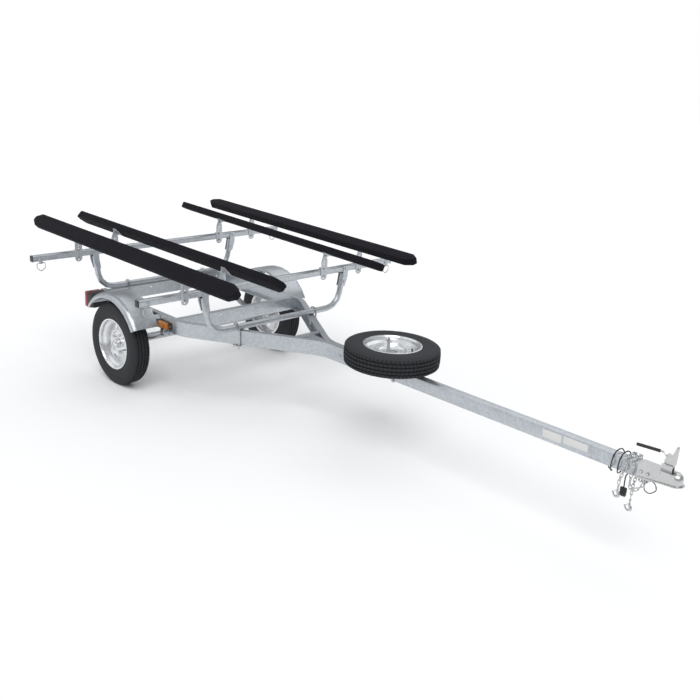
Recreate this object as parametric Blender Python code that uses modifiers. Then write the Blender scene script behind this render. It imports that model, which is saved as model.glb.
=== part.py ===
"""Two-boat kayak trailer: a galvanised frame on a sprung axle, with load bars and carpeted bunks.

Metres, +X to the coupler, +Y to the trailer's left, +Z up. The pieces are placed from a point
on the ground under the axle, and the datum empty then brings the whole to its own middle.
"""

from math import asin, atan2, cos, pi, radians, sin, sqrt, tan

import bmesh
import bpy
from mathutils import Euler, Matrix, Vector

# Clearances
TOUCH = 0.0003
BOLT_CLEARANCE = 0.0006
WASHER_GAP = 0.0009

# Wheels: 4.80-12 tyre on a 12 inch rim
TYRE_RADIUS = 0.2655
TYRE_WIDTH = 0.120
BEAD_RADIUS = 0.1524
RIM_WIDTH = 0.110
RIM_LIP = 0.0127
RIM_WALL = 0.003
WHEEL_FACE = 0.012
HUB_PILOT = 0.032
LUG_CIRCLE = 0.057
LUG_COUNT = 5
LUG_HOLE = 0.0075
VENT_CIRCLE = 0.101
VENT_COUNT = 5
VENT_SIZE = 0.0195
WHEEL_SIDES = 20
TREAD_GROOVE = 0.006
WHEEL_TRACK = 1.248

# Axle and springs
AXLE_SECTION = 0.0381
AXLE_WALL = 0.004
SPINDLE_RADIUS = 0.0127
SPINDLE_SIDES = 12
SPRING_SPACING = 0.960
SPRING_WIDTH = 0.0445
LEAF = 0.006
SPRING_REACH = 0.290
EYE_RADIUS = 0.0125
EYE_BORE = 0.0065
EYE_HEIGHT = 0.385
CLAMP_WIRE = 0.005
CLAMP_PLATE = 0.066

# Frame
RAIL_HEIGHT = 0.0889
RAIL_WALL = 0.003
RAIL_FLANGE = 0.038
RAIL_TOP = 0.500
RAIL_HALF_GAUGE = 0.500
RAIL_REAR = -0.440
RAIL_BEND_X = 0.479
RAIL_MEET_X = 1.238
RAIL_FRONT = 1.640
RAIL_BEND_RADIUS = 0.230
CROSS_REAR_X = -0.404
CROSS_FRONT_X = 0.392
CROSS_WIDTH = 0.038
CROSS_CHANNEL_X = (1.050, 1.088)
TONGUE_WIDTH = 0.0508
TONGUE_HEIGHT = 0.070
TONGUE_WALL = 0.003
TONGUE_FRONT = 3.315
RAIL_BOLTS_X = (1.373, 1.590)
COUPLER_BOLTS_X = (3.268, 3.300)

# Supports and load bars
BAR_X = (-0.404, 0.782)
BAR_SECTION = 0.0381
BAR_WALL = 0.0025
BAR_LENGTH = 1.981
BAR_HEIGHT = 0.769
BAR_CORNER = 0.005
TUBE_RADIUS = 0.019
TUBE_WALL = 0.0025
ARM_FOOT_Y = 0.517
ARM_TOP_Y = 0.554
ARM_TOP = 0.738
ARM_BEND = 0.110
ARM_PLATE = 0.004
ARM_PLATE_WIDTH = 0.042
ARM_PLATE_FOOT = 0.655
CLAMP_BOLT = 0.004
BOLT_BAR = 0.0075
REAR_CLAMP_Y = 0.310

# Bunks: where each one's rear and front straps stand, and how it leans
BUNK_STRAPS = {
    "bunk_1": (-0.682, -0.699, 45),
    "bunk_2": (-0.418, -0.442, -45),
    "bunk_3": (0.436, 0.363, -24),
    "bunk_4": (0.735, 0.677, 16),
}
BUNK_LENGTH = 2.205
BUNK_WIDTH = 0.093
BUNK_THICKNESS = 0.043
BUNK_CHAMFER = 0.055
BUNK_MIDDLE_X = 0.213
BUNK_CORNER = 0.006
PIVOT_HEIGHT = 0.877
PIVOT_DROP = 0.038
STRAP_WIDTH = 0.050
STRAP_THICKNESS = 0.004
STRAP_FOOT = 0.720
STRAP_HOLE = 0.0042
STRAP_BOLT = 0.0036
EAR_BASE = 0.070
EAR_TIP = 0.012

# Tie rings
RING_WIRE = 0.003
RING_WIDTH = 0.058
RING_DROP = 0.054
RING_INSET = 0.050

# Fenders and lights
FENDER_RADIUS = 0.333
FENDER_SKIN = 0.0025
FENDER_INNER_Y = 0.528
FENDER_OUTER_Y = 0.706
FENDER_FRONT = 30
FENDER_REAR = 142
FENDER_STEPS = 10
STAY_ANGLES = (41, 138)
TAIL_HEIGHT = 0.104
TAIL_DEPTH = 0.108
MARKER_X = (0.272, 0.392)
MARKER_LENS_X = (0.276, 0.366)
MARKER_HEIGHT = 0.046

# Coupler
BALL_X = 3.420
BALL_HEIGHT = 0.478
SOCKET_RADIUS = 0.0262
COUPLER_WALL = 0.0032
COUPLER_REAR = 3.250
COUPLER_FLOOR = 0.434
FLOOR_RISE = 0.014
LATCH_PIN = (3.372, 0.524)
JAW_PIN = (3.354, 0.489)
PIN_RADIUS = 0.004

# Spare wheel
SPARE_X = 1.746
SPARE_HEIGHT = 0.567
STUD_RADIUS = 0.006
STUD_TOP = 0.676

# Chains and wiring
CHAIN_RADIUS = 0.008
HOOK_WIRE = 0.0045
LEAD_RADIUS = 0.003
LEAD_EXIT_X = 3.100
LEAD_BEND = 0.012
LEAD_TURNS = 2
LEAD_PITCH = 0.034
TURN_POINTS = 24
TURN_HALF_WIDTH = 0.042
TURN_HALF_HEIGHT = 0.055
TURN_SQUARENESS = 2.4
PLUG_SIZE = (0.030, 0.012, 0.040)

# Worked out from the sizes above
RAIL_MIDDLE = RAIL_TOP - RAIL_HEIGHT / 2
RAIL_BOTTOM = RAIL_TOP - RAIL_HEIGHT
RAIL_CLOSED_Y = TONGUE_WIDTH / 2 + TOUCH + RAIL_WALL
RAIL_SLOPE = (RAIL_HALF_GAUGE - RAIL_CLOSED_Y) / (RAIL_MEET_X - RAIL_BEND_X)
RAIL_ANGLE = atan2(RAIL_HALF_GAUGE - RAIL_CLOSED_Y, RAIL_MEET_X - RAIL_BEND_X)
TONGUE_TOP = RAIL_TOP - RAIL_WALL - TOUCH
TONGUE_MIDDLE = TONGUE_TOP - TONGUE_HEIGHT / 2
TONGUE_BOTTOM = TONGUE_TOP - TONGUE_HEIGHT
AXLE_HEIGHT = TYRE_RADIUS
AXLE_TOP = AXLE_HEIGHT + AXLE_SECTION / 2
WHEEL_Y = WHEEL_TRACK / 2
SPRING_Y = SPRING_SPACING / 2
SPRING_SEAT = AXLE_TOP + TOUCH
SPRING_PACK = 3 * LEAF
BAR_HALF = BAR_SECTION / 2
BAR_TOP = BAR_HEIGHT + BAR_HALF
BAR_BOTTOM = BAR_HEIGHT - BAR_HALF
SUPPORT_MIDDLE = RAIL_TOP + TOUCH + TUBE_RADIUS
FRONT_CLAMP_Y = RAIL_HALF_GAUGE - (BAR_X[1] - RAIL_BEND_X) * RAIL_SLOPE - RAIL_WALL / 2
LEG_OFFSET = TUBE_RADIUS + TOUCH + CLAMP_BOLT
STRAP_X = BAR_HALF + TOUCH + STRAP_THICKNESS / 2
EAR_X = STRAP_X + STRAP_THICKNESS + WASHER_GAP
RING_X = BAR_HALF + 0.0035
RING_HEIGHT = BAR_BOTTOM - 0.0070
RING_Y = BAR_LENGTH / 2 - RING_INSET
STUD_X = SPARE_X + LUG_CIRCLE * cos(2 * pi / LUG_COUNT)
STUD_Y = -LUG_CIRCLE * sin(2 * pi / LUG_COUNT)
SIDES = {"right": -1, "left": 1}

# Planes for flat outlines: drawn in Y and Z, or in X and Z
FACING_X = Matrix(((0, 0, 1), (1, 0, 0), (0, 1, 0))).to_4x4()
FACING_Y = Matrix(((1, 0, 0), (0, 0, -1), (0, 1, 0))).to_4x4()

MATERIALS = {
    "galvanised": ((0.56, 0.59, 0.61), 0.42, 0.85),
    "zinc": ((0.70, 0.71, 0.72), 0.30, 0.95),
    "rim": ((0.72, 0.74, 0.76), 0.28, 0.85),
    "tyre": ((0.022, 0.022, 0.025), 0.85, 0.0),
    "carpet": ((0.020, 0.019, 0.026), 0.95, 0.0),
    "black_plastic": ((0.018, 0.018, 0.020), 0.45, 0.0),
    "red_lens": ((0.42, 0.030, 0.020), 0.18, 0.0),
    "amber_lens": ((0.72, 0.24, 0.02), 0.18, 0.0),
    "dark_steel": ((0.10, 0.10, 0.11), 0.45, 0.8),
}


def clear_scene():
    """Empties the scene and makes the two collections."""
    for thing in list(bpy.data.objects):
        bpy.data.objects.remove(thing, do_unlink=True)
    for name in ("kayak_trailer", "cutters"):
        group = bpy.data.collections.new(name)
        bpy.context.scene.collection.children.link(group)


def make_materials():
    """One Principled material for each finish."""
    for name, (colour, roughness, metallic) in MATERIALS.items():
        finish = bpy.data.materials.new(name)
        finish.use_nodes = True
        shader = finish.node_tree.nodes["Principled BSDF"]
        shader.inputs["Base Color"].default_value = (*colour, 1.0)
        shader.inputs["Roughness"].default_value = roughness
        shader.inputs["Metallic"].default_value = metallic


def tidy(mesh, flat=0.0):
    """Welds doubled points, joins faces that lie flat and turns the faces outward."""
    shape = bmesh.new()
    shape.from_mesh(mesh)
    bmesh.ops.remove_doubles(shape, verts=shape.verts, dist=0.00001)
    if flat:
        bmesh.ops.dissolve_limit(
            shape, angle_limit=flat, verts=shape.verts[:], edges=shape.edges[:]
        )
        bmesh.ops.triangulate(shape, faces=[face for face in shape.faces if len(face.verts) > 4])
    bmesh.ops.recalc_face_normals(shape, faces=shape.faces)
    shape.to_mesh(mesh)
    shape.free()
    return mesh


def evaluated_mesh(thing):
    """The mesh that an object shows, as a new mesh; the object is removed."""
    bpy.data.collections["cutters"].objects.link(thing)
    graph = bpy.context.evaluated_depsgraph_get()
    mesh = bpy.data.meshes.new_from_object(thing.evaluated_get(graph))
    bpy.data.objects.remove(thing)
    return mesh


def add_part(name, mesh, finish, place=(0, 0, 0), turn=(0, 0, 0), smooth=None):
    """Adds one piece of the trailer, carried by the datum."""
    mesh.materials.clear()
    mesh.materials.append(bpy.data.materials[finish])
    if smooth is not None:
        mesh.shade_smooth()
        mesh.set_sharp_from_angle(angle=radians(smooth))
    thing = bpy.data.objects.new(name, mesh)
    thing.location = place
    thing.rotation_euler = turn
    thing.parent = bpy.data.objects["datum"]
    bpy.data.collections["kayak_trailer"].objects.link(thing)
    return thing


def box(size, centre=(0, 0, 0), turn=(0, 0, 0)):
    """A rectangular block."""
    shape = bmesh.new()
    frame = Matrix.LocRotScale(Vector(centre), Euler(turn), Vector(size))
    bmesh.ops.create_cube(shape, size=1, matrix=frame)
    mesh = bpy.data.meshes.new("box")
    shape.to_mesh(mesh)
    shape.free()
    return mesh


def rod(start, end, radius, sides=12, end_radius=None):
    """A round bar or a cone between two points."""
    start = Vector(start)
    along = Vector(end) - start
    aim = along.to_track_quat("Z", "Y")
    frame = Matrix.LocRotScale(start + along / 2, aim, None)
    shape = bmesh.new()
    bmesh.ops.create_cone(
        shape,
        cap_ends=True,
        segments=sides,
        radius1=radius,
        radius2=radius if end_radius is None else end_radius,
        depth=along.length,
        matrix=frame,
    )
    mesh = bpy.data.meshes.new("rod")
    shape.to_mesh(mesh)
    shape.free()
    return mesh


def ball(centre, radius, sides=20, rings=12):
    """A sphere."""
    shape = bmesh.new()
    bmesh.ops.create_uvsphere(
        shape,
        u_segments=sides,
        v_segments=rings,
        radius=radius,
        matrix=Matrix.Translation(centre),
    )
    mesh = bpy.data.meshes.new("ball")
    shape.to_mesh(mesh)
    shape.free()
    return mesh


def circle(middle, radius, sides=12, start=0.0, end=2 * pi):
    """Points round a circle or an arc; a whole circle leaves out its last point."""
    whole = end - start > 2 * pi - 0.001
    count = sides if whole else sides + 1
    points = []
    for number in range(count):
        angle = start + (end - start) * number / sides
        points.append((middle[0] + radius * cos(angle), middle[1] + radius * sin(angle)))
    return points


def plate(outline, thickness, facing, holes=()):
    """A flat outline with holes, as thick as given and centred on its own plane."""
    curve = bpy.data.curves.new("plate", "CURVE")
    curve.dimensions = "2D"
    curve.fill_mode = "BOTH"
    curve.extrude = thickness / 2
    for loop in (outline, *holes):
        spline = curve.splines.new("POLY")
        spline.points.add(len(loop) - 1)
        for point, spot in zip(spline.points, loop):
            point.co = (spot[0], spot[1], 0, 1)
        spline.use_cyclic_u = True
    mesh = tidy(evaluated_mesh(bpy.data.objects.new("plate", curve)))
    mesh.transform(facing)
    return mesh


def moved(mesh, place=(0, 0, 0), turn=(0, 0, 0)):
    """The same mesh, turned and shifted."""
    mesh.transform(Matrix.LocRotScale(Vector(place), Euler(turn), None))
    return mesh


def mirrored(mesh):
    """The same mesh for the other side of the trailer."""
    mesh.transform(Matrix.Scale(-1, 4, (0, 1, 0)))
    return tidy(mesh)


def wire(points, radius, resolution=2, closed=False):
    """A round wire through the points."""
    curve = bpy.data.curves.new("wire", "CURVE")
    curve.dimensions = "3D"
    curve.bevel_depth = radius
    curve.bevel_resolution = resolution
    curve.use_fill_caps = True
    spline = curve.splines.new("POLY")
    spline.points.add(len(points) - 1)
    for point, spot in zip(spline.points, points):
        point.co = (*spot, 1)
    spline.use_cyclic_u = closed
    thing = bpy.data.objects.new("wire", curve)
    thing.modifiers.new("flat", "TRIANGULATE")
    return tidy(evaluated_mesh(thing))


def turned(profile, steps=WHEEL_SIDES, closed=True, sweep=2 * pi):
    """Turns a profile of (radius, height) round the Z axis."""
    mesh = bpy.data.meshes.new("turned")
    edges = [(number, number + 1) for number in range(len(profile) - 1)]
    if closed:
        edges.append((len(profile) - 1, 0))
    mesh.from_pydata([(radius, 0, height) for radius, height in profile], edges, [])
    thing = bpy.data.objects.new("turned", mesh)
    screw = thing.modifiers.new("turn", "SCREW")
    screw.angle = sweep
    screw.steps = steps
    screw.render_steps = steps
    screw.use_merge_vertices = sweep > 2 * pi - 0.001
    screw.merge_threshold = 0.00001
    return tidy(evaluated_mesh(thing))


def combined(base, others, operation):
    """Booleans of one mesh with others, in turn."""
    cutters = bpy.data.collections["cutters"]
    body = bpy.data.objects.new("body", base)
    tools = []
    for mesh in others:
        tool = bpy.data.objects.new("tool", mesh)
        tool.hide_render = True
        tool.display_type = "WIRE"
        cutters.objects.link(tool)
        tools.append(tool)
        step = body.modifiers.new("step", "BOOLEAN")
        step.operation = operation
        step.solver = "EXACT"
        step.object = tool
    result = evaluated_mesh(body)
    for tool in tools:
        bpy.data.objects.remove(tool)
    return tidy(result, 0.001)


def fused(base, *others):
    """One body from meshes that overlap."""
    return combined(base, others, "UNION")


def carved(base, *cutters):
    """The first mesh with the others cut out of it."""
    return combined(base, cutters, "DIFFERENCE")


def filleted(points, radius, steps=3):
    """A run of straight lines with an arc at each corner."""
    spots = [Vector(point) for point in points]
    path = [spots[0]]
    for before, corner, after in zip(spots, spots[1:], spots[2:]):
        back = (before - corner).normalized()
        ahead = (after - corner).normalized()
        bend = pi - back.angle(ahead)
        reach = radius * tan(bend / 2)
        middle = corner + (back + ahead).normalized() * radius / cos(bend / 2)
        first = corner + back * reach - middle
        last = corner + ahead * reach - middle
        for number in range(steps + 1):
            path.append(middle + first.slerp(last, number / steps) * radius)
    path.append(spots[-1])
    return path


def smoothed(points, steps=2):
    """A curve through hand-chosen points."""
    spots = [Vector(point) for point in points]
    spots = [2 * spots[0] - spots[1], *spots, 2 * spots[-1] - spots[-2]]
    path = []
    for a, b, c, d in zip(spots, spots[1:], spots[2:], spots[3:]):
        for number in range(steps):
            t = number / steps
            path.append(
                0.5
                * (
                    2 * b
                    + (c - a) * t
                    + (2 * a - 5 * b + 4 * c - d) * t * t
                    + (3 * b - a - 3 * c + d) * t * t * t
                )
            )
    path.append(spots[-2])
    return path


def bore_for(radius, sides, gap=0.0001):
    """Radius of a many-sided hole in which a round bar turns freely."""
    return (radius + gap) / cos(pi / sides)


def bent_bolt(inside, rod_width, legs, facing, bend=0.006):
    """A U-bolt round a bar of the given half width, with its legs as long as given."""
    outside = inside + rod_width
    outline = [
        (-outside, legs),
        (-outside, bend - outside),
        (bend - outside, -outside),
        (outside - bend, -outside),
        (outside, bend - outside),
        (outside, legs),
        (inside, legs),
        (inside, -inside),
        (-inside, -inside),
        (-inside, legs),
    ]
    return plate(outline, rod_width, facing)


def nut(centre, axis, radius=0.0075, height=0.006):
    """A hexagon nut or bolt head."""
    middle = Vector(centre)
    half = Vector(axis).normalized() * height / 2
    return rod(middle - half, middle + half, radius, 6)


def rail_path(outset):
    """Plan points of the left rail's outer face, moved outward by outset."""
    corners = [
        (RAIL_REAR, RAIL_HALF_GAUGE),
        (RAIL_BEND_X, RAIL_HALF_GAUGE),
        (RAIL_MEET_X, RAIL_CLOSED_Y),
        (RAIL_FRONT, RAIL_CLOSED_Y),
    ]
    lead = outset * tan(RAIL_ANGLE / 2)
    shifts = [(0, outset), (lead, outset), (lead, outset), (0, outset)]
    moved_corners = []
    for (x, y), (dx, dy) in zip(corners, shifts):
        moved_corners.append((x + dx, y + dy, 0))
    first = filleted(moved_corners[:3], RAIL_BEND_RADIUS + outset)
    last = filleted(moved_corners[1:], RAIL_BEND_RADIUS - outset)
    return first[:-1] + last[1:]


def rail_channel():
    """The right rail's bare channel: its C section follows the bends in plan."""
    inside = -RAIL_WALL
    edge = -RAIL_FLANGE
    low = RAIL_BOTTOM + RAIL_WALL
    high = RAIL_TOP - RAIL_WALL
    section = [
        (0, RAIL_BOTTOM),
        (0, RAIL_TOP),
        (edge, RAIL_TOP),
        (edge, high),
        (inside, high),
        (inside, low),
        (edge, low),
        (edge, RAIL_BOTTOM),
    ]
    runs = [[(spot.x, -spot.y, z) for spot in rail_path(outset)] for outset, z in section]
    shape = bmesh.new()
    rings = [[shape.verts.new(spot) for spot in ring] for ring in zip(*runs)]
    for ring, following in zip(rings, rings[1:]):
        for number in range(len(ring)):
            corner = (number + 1) % len(ring)
            shape.faces.new((ring[number], ring[corner], following[corner], following[number]))
    shape.faces.new(rings[0])
    shape.faces.new(rings[-1])
    mesh = bpy.data.meshes.new("channel")
    shape.to_mesh(mesh)
    shape.free()
    return tidy(mesh)


def spring_hanger(x, y):
    """Two ears under the rail and the bolt between them."""
    foot = EYE_HEIGHT - EYE_RADIUS - 0.003
    ear_gap = SPRING_WIDTH / 2 + TOUCH
    ear = 0.004
    top = RAIL_BOTTOM - 0.002
    base = box((0.034, 2 * (ear_gap + ear), 0.005), (x, y, RAIL_BOTTOM - 0.0015))
    pieces = [base]
    for side in (-1, 1):
        centre = y + side * (ear_gap + ear / 2)
        pieces.append(box((0.034, ear, top - foot), (x, centre, (top + foot) / 2)))
    end = ear_gap + ear + 0.006
    radius = EYE_BORE - 0.0004
    pieces.append(rod((x, y - end, EYE_HEIGHT), (x, y + end, EYE_HEIGHT), radius, 8))
    return pieces


def right_rail():
    """A bent C channel with its flanges inward, holes and spring hangers."""
    hangers = spring_hanger(SPRING_REACH, -SPRING_Y) + spring_hanger(-SPRING_REACH, -SPRING_Y)
    far = 0.1
    holes = [box((2.0, far, 0.2), (RAIL_FRONT, far / 2 - TOUCH * 2, RAIL_MIDDLE))]
    for x in RAIL_BOLTS_X:
        holes.append(rod((x, -0.1, RAIL_MIDDLE), (x, 0, RAIL_MIDDLE), BOLT_BAR + BOLT_CLEARANCE, 6))
    leg_x = BAR_X[1] - LEG_OFFSET
    low = (leg_x, -FRONT_CLAMP_Y, RAIL_BOTTOM - 0.01)
    high = (leg_x, -FRONT_CLAMP_Y, RAIL_TOP + 0.01)
    holes.append(rod(low, high, bore_for(CLAMP_BOLT * sqrt(2), 8, BOLT_CLEARANCE), 8))
    for x in (-0.10, 0.15):
        outer = (x, -RAIL_HALF_GAUGE - 0.02, RAIL_MIDDLE + 0.018)
        inner = (x, 0.02 - RAIL_HALF_GAUGE, RAIL_MIDDLE + 0.018)
        holes.append(rod(outer, inner, 0.005, 6))
    return carved(fused(rail_channel(), *hangers), *holes)


def crossmember(name, x):
    """A C channel that seats between the rails' flanges, webs forward."""
    height = RAIL_HEIGHT - 2 * RAIL_WALL - 2 * TOUCH
    half_width = CROSS_WIDTH / 2
    reach = 2 * (RAIL_HALF_GAUGE - RAIL_WALL - TOUCH)
    outer = box((CROSS_WIDTH, reach, height), (x, 0, RAIL_MIDDLE))
    hollow = (CROSS_WIDTH, reach + 0.01, height - 2 * RAIL_WALL)
    inner = box(hollow, (x - RAIL_WALL, 0, RAIL_MIDDLE))
    holes = []
    for y in (-0.42, -0.14, 0.14, 0.42):
        ahead = (x + half_width + 0.01, y, RAIL_MIDDLE + 0.02)
        behind = (x + half_width - 0.01, y, RAIL_MIDDLE + 0.02)
        holes.append(rod(behind, ahead, 0.005, 6))
    add_part(name, carved(outer, inner, *holes), "galvanised")


def tongue_cross_channel():
    """The short channel between the rails, against which the tongue ends."""
    back, front = CROSS_CHANNEL_X
    half_height = RAIL_HEIGHT / 2 - RAIL_WALL - TOUCH

    def half_length(x):
        face = RAIL_CLOSED_Y + (RAIL_MEET_X - x) * RAIL_SLOPE
        return face - (RAIL_WALL + TOUCH) / cos(RAIL_ANGLE)

    outline = [
        (back, -half_length(back)),
        (front, -half_length(front)),
        (front, half_length(front)),
        (back, half_length(back)),
    ]
    block = plate(outline, 2 * half_height, Matrix.Translation((0, 0, RAIL_MIDDLE)))
    middle = ((back + front) / 2 - RAIL_WALL, 0, RAIL_MIDDLE)
    hollow = box((front - back, 0.4, 2 * half_height - 2 * RAIL_WALL), middle)
    add_part("tongue_cross_channel", carved(block, hollow), "galvanised")


def hex_bar(start, end):
    """A bolt shown as one hexagon bar from head to nut."""
    return rod(start, end, BOLT_BAR, 6)


def tongue():
    """The rectangular drawbar with its bolts to the rails and to the coupler."""
    back = CROSS_CHANNEL_X[1] + TOUCH
    length = TONGUE_FRONT - back
    centre = ((TONGUE_FRONT + back) / 2, 0, TONGUE_MIDDLE)
    shape = bmesh.new()
    shape.from_mesh(box((length, TONGUE_WIDTH, TONGUE_HEIGHT), centre))
    runs = [edge for edge in shape.edges if abs(edge.verts[0].co.x - edge.verts[1].co.x) > 0.1]
    bmesh.ops.bevel(shape, geom=runs, offset=0.004, segments=1, profile=0.5, affect="EDGES")
    outer = bpy.data.meshes.new("tongue")
    shape.to_mesh(outer)
    shape.free()
    hollow = (length + 0.01, TONGUE_WIDTH - 2 * TONGUE_WALL, TONGUE_HEIGHT - 2 * TONGUE_WALL)
    exit_top, exit_foot = (LEAD_EXIT_X, 0, TONGUE_MIDDLE), (LEAD_EXIT_X, 0, TONGUE_BOTTOM - 0.01)
    lead_hole = rod(exit_top, exit_foot, bore_for(LEAD_RADIUS, 8, 0.0004), 8)
    bar = carved(outer, box(hollow, centre), lead_hole)
    bolts = []
    reach = RAIL_CLOSED_Y + 0.006
    for x in RAIL_BOLTS_X:
        bolts.append(hex_bar((x, -reach, RAIL_MIDDLE), (x, reach, RAIL_MIDDLE)))
    for x in COUPLER_BOLTS_X:
        bolts.append(hex_bar((x, -reach, TONGUE_MIDDLE), (x, reach, TONGUE_MIDDLE)))
    add_part("tongue_tube", fused(bar, *bolts), "galvanised")


def axle():
    """Square axle tube with spindles, and the spring clamps fused to it."""
    reach = 2 * (SPRING_Y + 0.045)
    tube = carved(
        box((AXLE_SECTION, reach, AXLE_SECTION)),
        box((AXLE_SECTION - 2 * AXLE_WALL, reach + 0.01, AXLE_SECTION - 2 * AXLE_WALL)),
    )
    pieces = []
    for side in (-1, 1):
        inner = side * (reach / 2 - 0.020)
        outer = side * (WHEEL_Y + 0.022)
        shoulder = side * (WHEEL_Y - 0.045)
        pieces.append(rod((0, inner, 0), (0, shoulder, 0), AXLE_SECTION / 2 - AXLE_WALL / 2))
        start = (0, shoulder - side * 0.005, 0)
        pieces.append(rod(start, (0, outer, 0), SPINDLE_RADIUS, SPINDLE_SIDES))
        pieces.extend(spring_clamp(side * SPRING_Y))
    add_part("axle_beam", fused(tube, *pieces), "galvanised", (0, 0, AXLE_HEIGHT))


def spring_clamp(y):
    """Two square U-bolts and the tie plate that hold a spring down on the axle."""
    top = AXLE_SECTION / 2 + TOUCH + SPRING_PACK + TOUCH
    inside = AXLE_SECTION / 2 - 0.0005
    across = SPRING_WIDTH / 2 + CLAMP_WIRE + TOUCH
    pieces = [box((CLAMP_PLATE, 2 * across + 0.022, 0.007), (0, y, top + 0.0035))]
    for side in (-1, 1):
        bar = bent_bolt(inside, 2 * CLAMP_WIRE, top + 0.018, FACING_Y)
        pieces.append(moved(bar, (0, y + side * across, 0)))
    return pieces


def leaf_spring(name, side):
    """Three leaves that rise from the axle to an eye at each end."""
    rise = EYE_HEIGHT - SPRING_SEAT - SPRING_PACK + LEAF / 2
    straight = SPRING_REACH - EYE_RADIUS * 0.75

    flat = CLAMP_PLATE / 2 + 0.002

    def height(x):
        share = max(0, abs(x) - flat) / (SPRING_REACH - flat)
        return SPRING_SEAT + SPRING_PACK - LEAF + rise * share**2

    reaches = [flat + (straight - flat) * number / 5 for number in range(6)]
    stations = [-x for x in reversed(reaches)] + reaches
    top = [(x, height(x) + LEAF) for x in stations]
    steps = []
    for x in stations:
        share = abs(x) / straight
        leaves = 3 if share < 0.45 else 2 if share < 0.70 else 1
        steps.append((x, height(x) + LEAF - leaves * LEAF))
    outline = top + list(reversed(steps))
    pack = plate(outline, SPRING_WIDTH, FACING_Y)
    eyes = []
    for end in (-1, 1):
        x = end * SPRING_REACH
        half = SPRING_WIDTH / 2
        eyes.append(rod((x, -half, EYE_HEIGHT), (x, half, EYE_HEIGHT), EYE_RADIUS, 10))
    bores = []
    for end in (-1, 1):
        x = end * SPRING_REACH
        bore = bore_for(EYE_BORE - 0.0004, 8)
        bores.append(rod((x, -0.1, EYE_HEIGHT), (x, 0.1, EYE_HEIGHT), bore, 8))
    spring = carved(fused(pack, *eyes), *bores)
    add_part(name, spring, "dark_steel", (0, side * SPRING_Y, 0))


def tyre_mesh():
    """The tyre's section: tread with grooves, shoulders, sidewalls and beads."""
    half = TYRE_WIDTH / 2
    tread = half * 0.80
    groove = TREAD_GROOVE
    profile = []
    for middle in (-0.5, 0.5):
        spot = middle * tread
        profile += [
            (TYRE_RADIUS, spot - groove / 2),
            (TYRE_RADIUS - groove, spot),
            (TYRE_RADIUS, spot + groove / 2),
        ]
    profile += [
        (TYRE_RADIUS - 0.006, half * 0.90),
        (BEAD_RADIUS + 0.060, half),
        (BEAD_RADIUS + TOUCH, RIM_WIDTH / 2 - 0.0065),
        (BEAD_RADIUS + TOUCH, RIM_WIDTH / 2 - 0.020),
        (TYRE_RADIUS - 0.020, half * 0.70),
        (TYRE_RADIUS - 0.020, -half * 0.70),
        (BEAD_RADIUS + TOUCH, 0.020 - RIM_WIDTH / 2),
        (BEAD_RADIUS + TOUCH, 0.0065 - RIM_WIDTH / 2),
        (BEAD_RADIUS + 0.060, -half),
        (TYRE_RADIUS - 0.006, -half * 0.90),
    ]
    return turned(profile)


def rim_mesh():
    """Rolled rim with a dished, vented disc; the outer side is +Z."""
    half = RIM_WIDTH / 2
    seat = BEAD_RADIUS
    well = seat - 0.016
    lip = seat + RIM_LIP
    wall = RIM_WALL
    barrel = turned(
        [
            (lip, half),
            (seat, half - 0.006),
            (seat, half - 0.024),
            (well, half - 0.036),
            (well, 0.034 - half),
            (seat, 0.024 - half),
            (seat, 0.006 - half),
            (lip, -half),
            (seat - wall, -half - wall * 0.6),
            (well - wall, 0.032 - half),
            (well - wall, half - 0.0345),
            (seat - wall, half - 0.0225),
            (seat - wall, half + wall * 0.6),
        ]
    )
    face = WHEEL_FACE
    thick = 0.004
    disc = turned(
        [
            (HUB_PILOT, face),
            (HUB_PILOT, face - thick),
            (LUG_CIRCLE + 0.013, face - thick),
            (LUG_CIRCLE + 0.022, face + 0.008 - thick),
            (well - wall * 0.5, face - 0.010 - thick),
            (well - wall * 0.5, face - 0.010),
            (LUG_CIRCLE + 0.023, face + 0.008),
            (LUG_CIRCLE + 0.013, face),
        ]
    )
    cutters = []
    for number in range(LUG_COUNT):
        angle = 2 * pi * number / LUG_COUNT
        x, y = LUG_CIRCLE * cos(angle), LUG_CIRCLE * sin(angle)
        cutters.append(rod((x, y, face - 0.02), (x, y, face + 0.02), LUG_HOLE, 6))
    for number in range(VENT_COUNT):
        angle = 2 * pi * (number + 0.5) / VENT_COUNT
        corners = []
        for turn in (180, 300, 60):
            corner = radians(turn)
            middle = (0.60 * VENT_SIZE * cos(corner), 0.60 * VENT_SIZE * sin(corner))
            corners += circle(middle, 0.40 * VENT_SIZE, 1, corner - pi / 4, corner + pi / 4)
        window = plate(corners, 0.06, Matrix.Translation((VENT_CIRCLE, 0, face)))
        window.transform(Matrix.Rotation(angle, 4, "Z"))
        cutters.append(window)
    return carved(fused(barrel, disc), *cutters)


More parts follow.
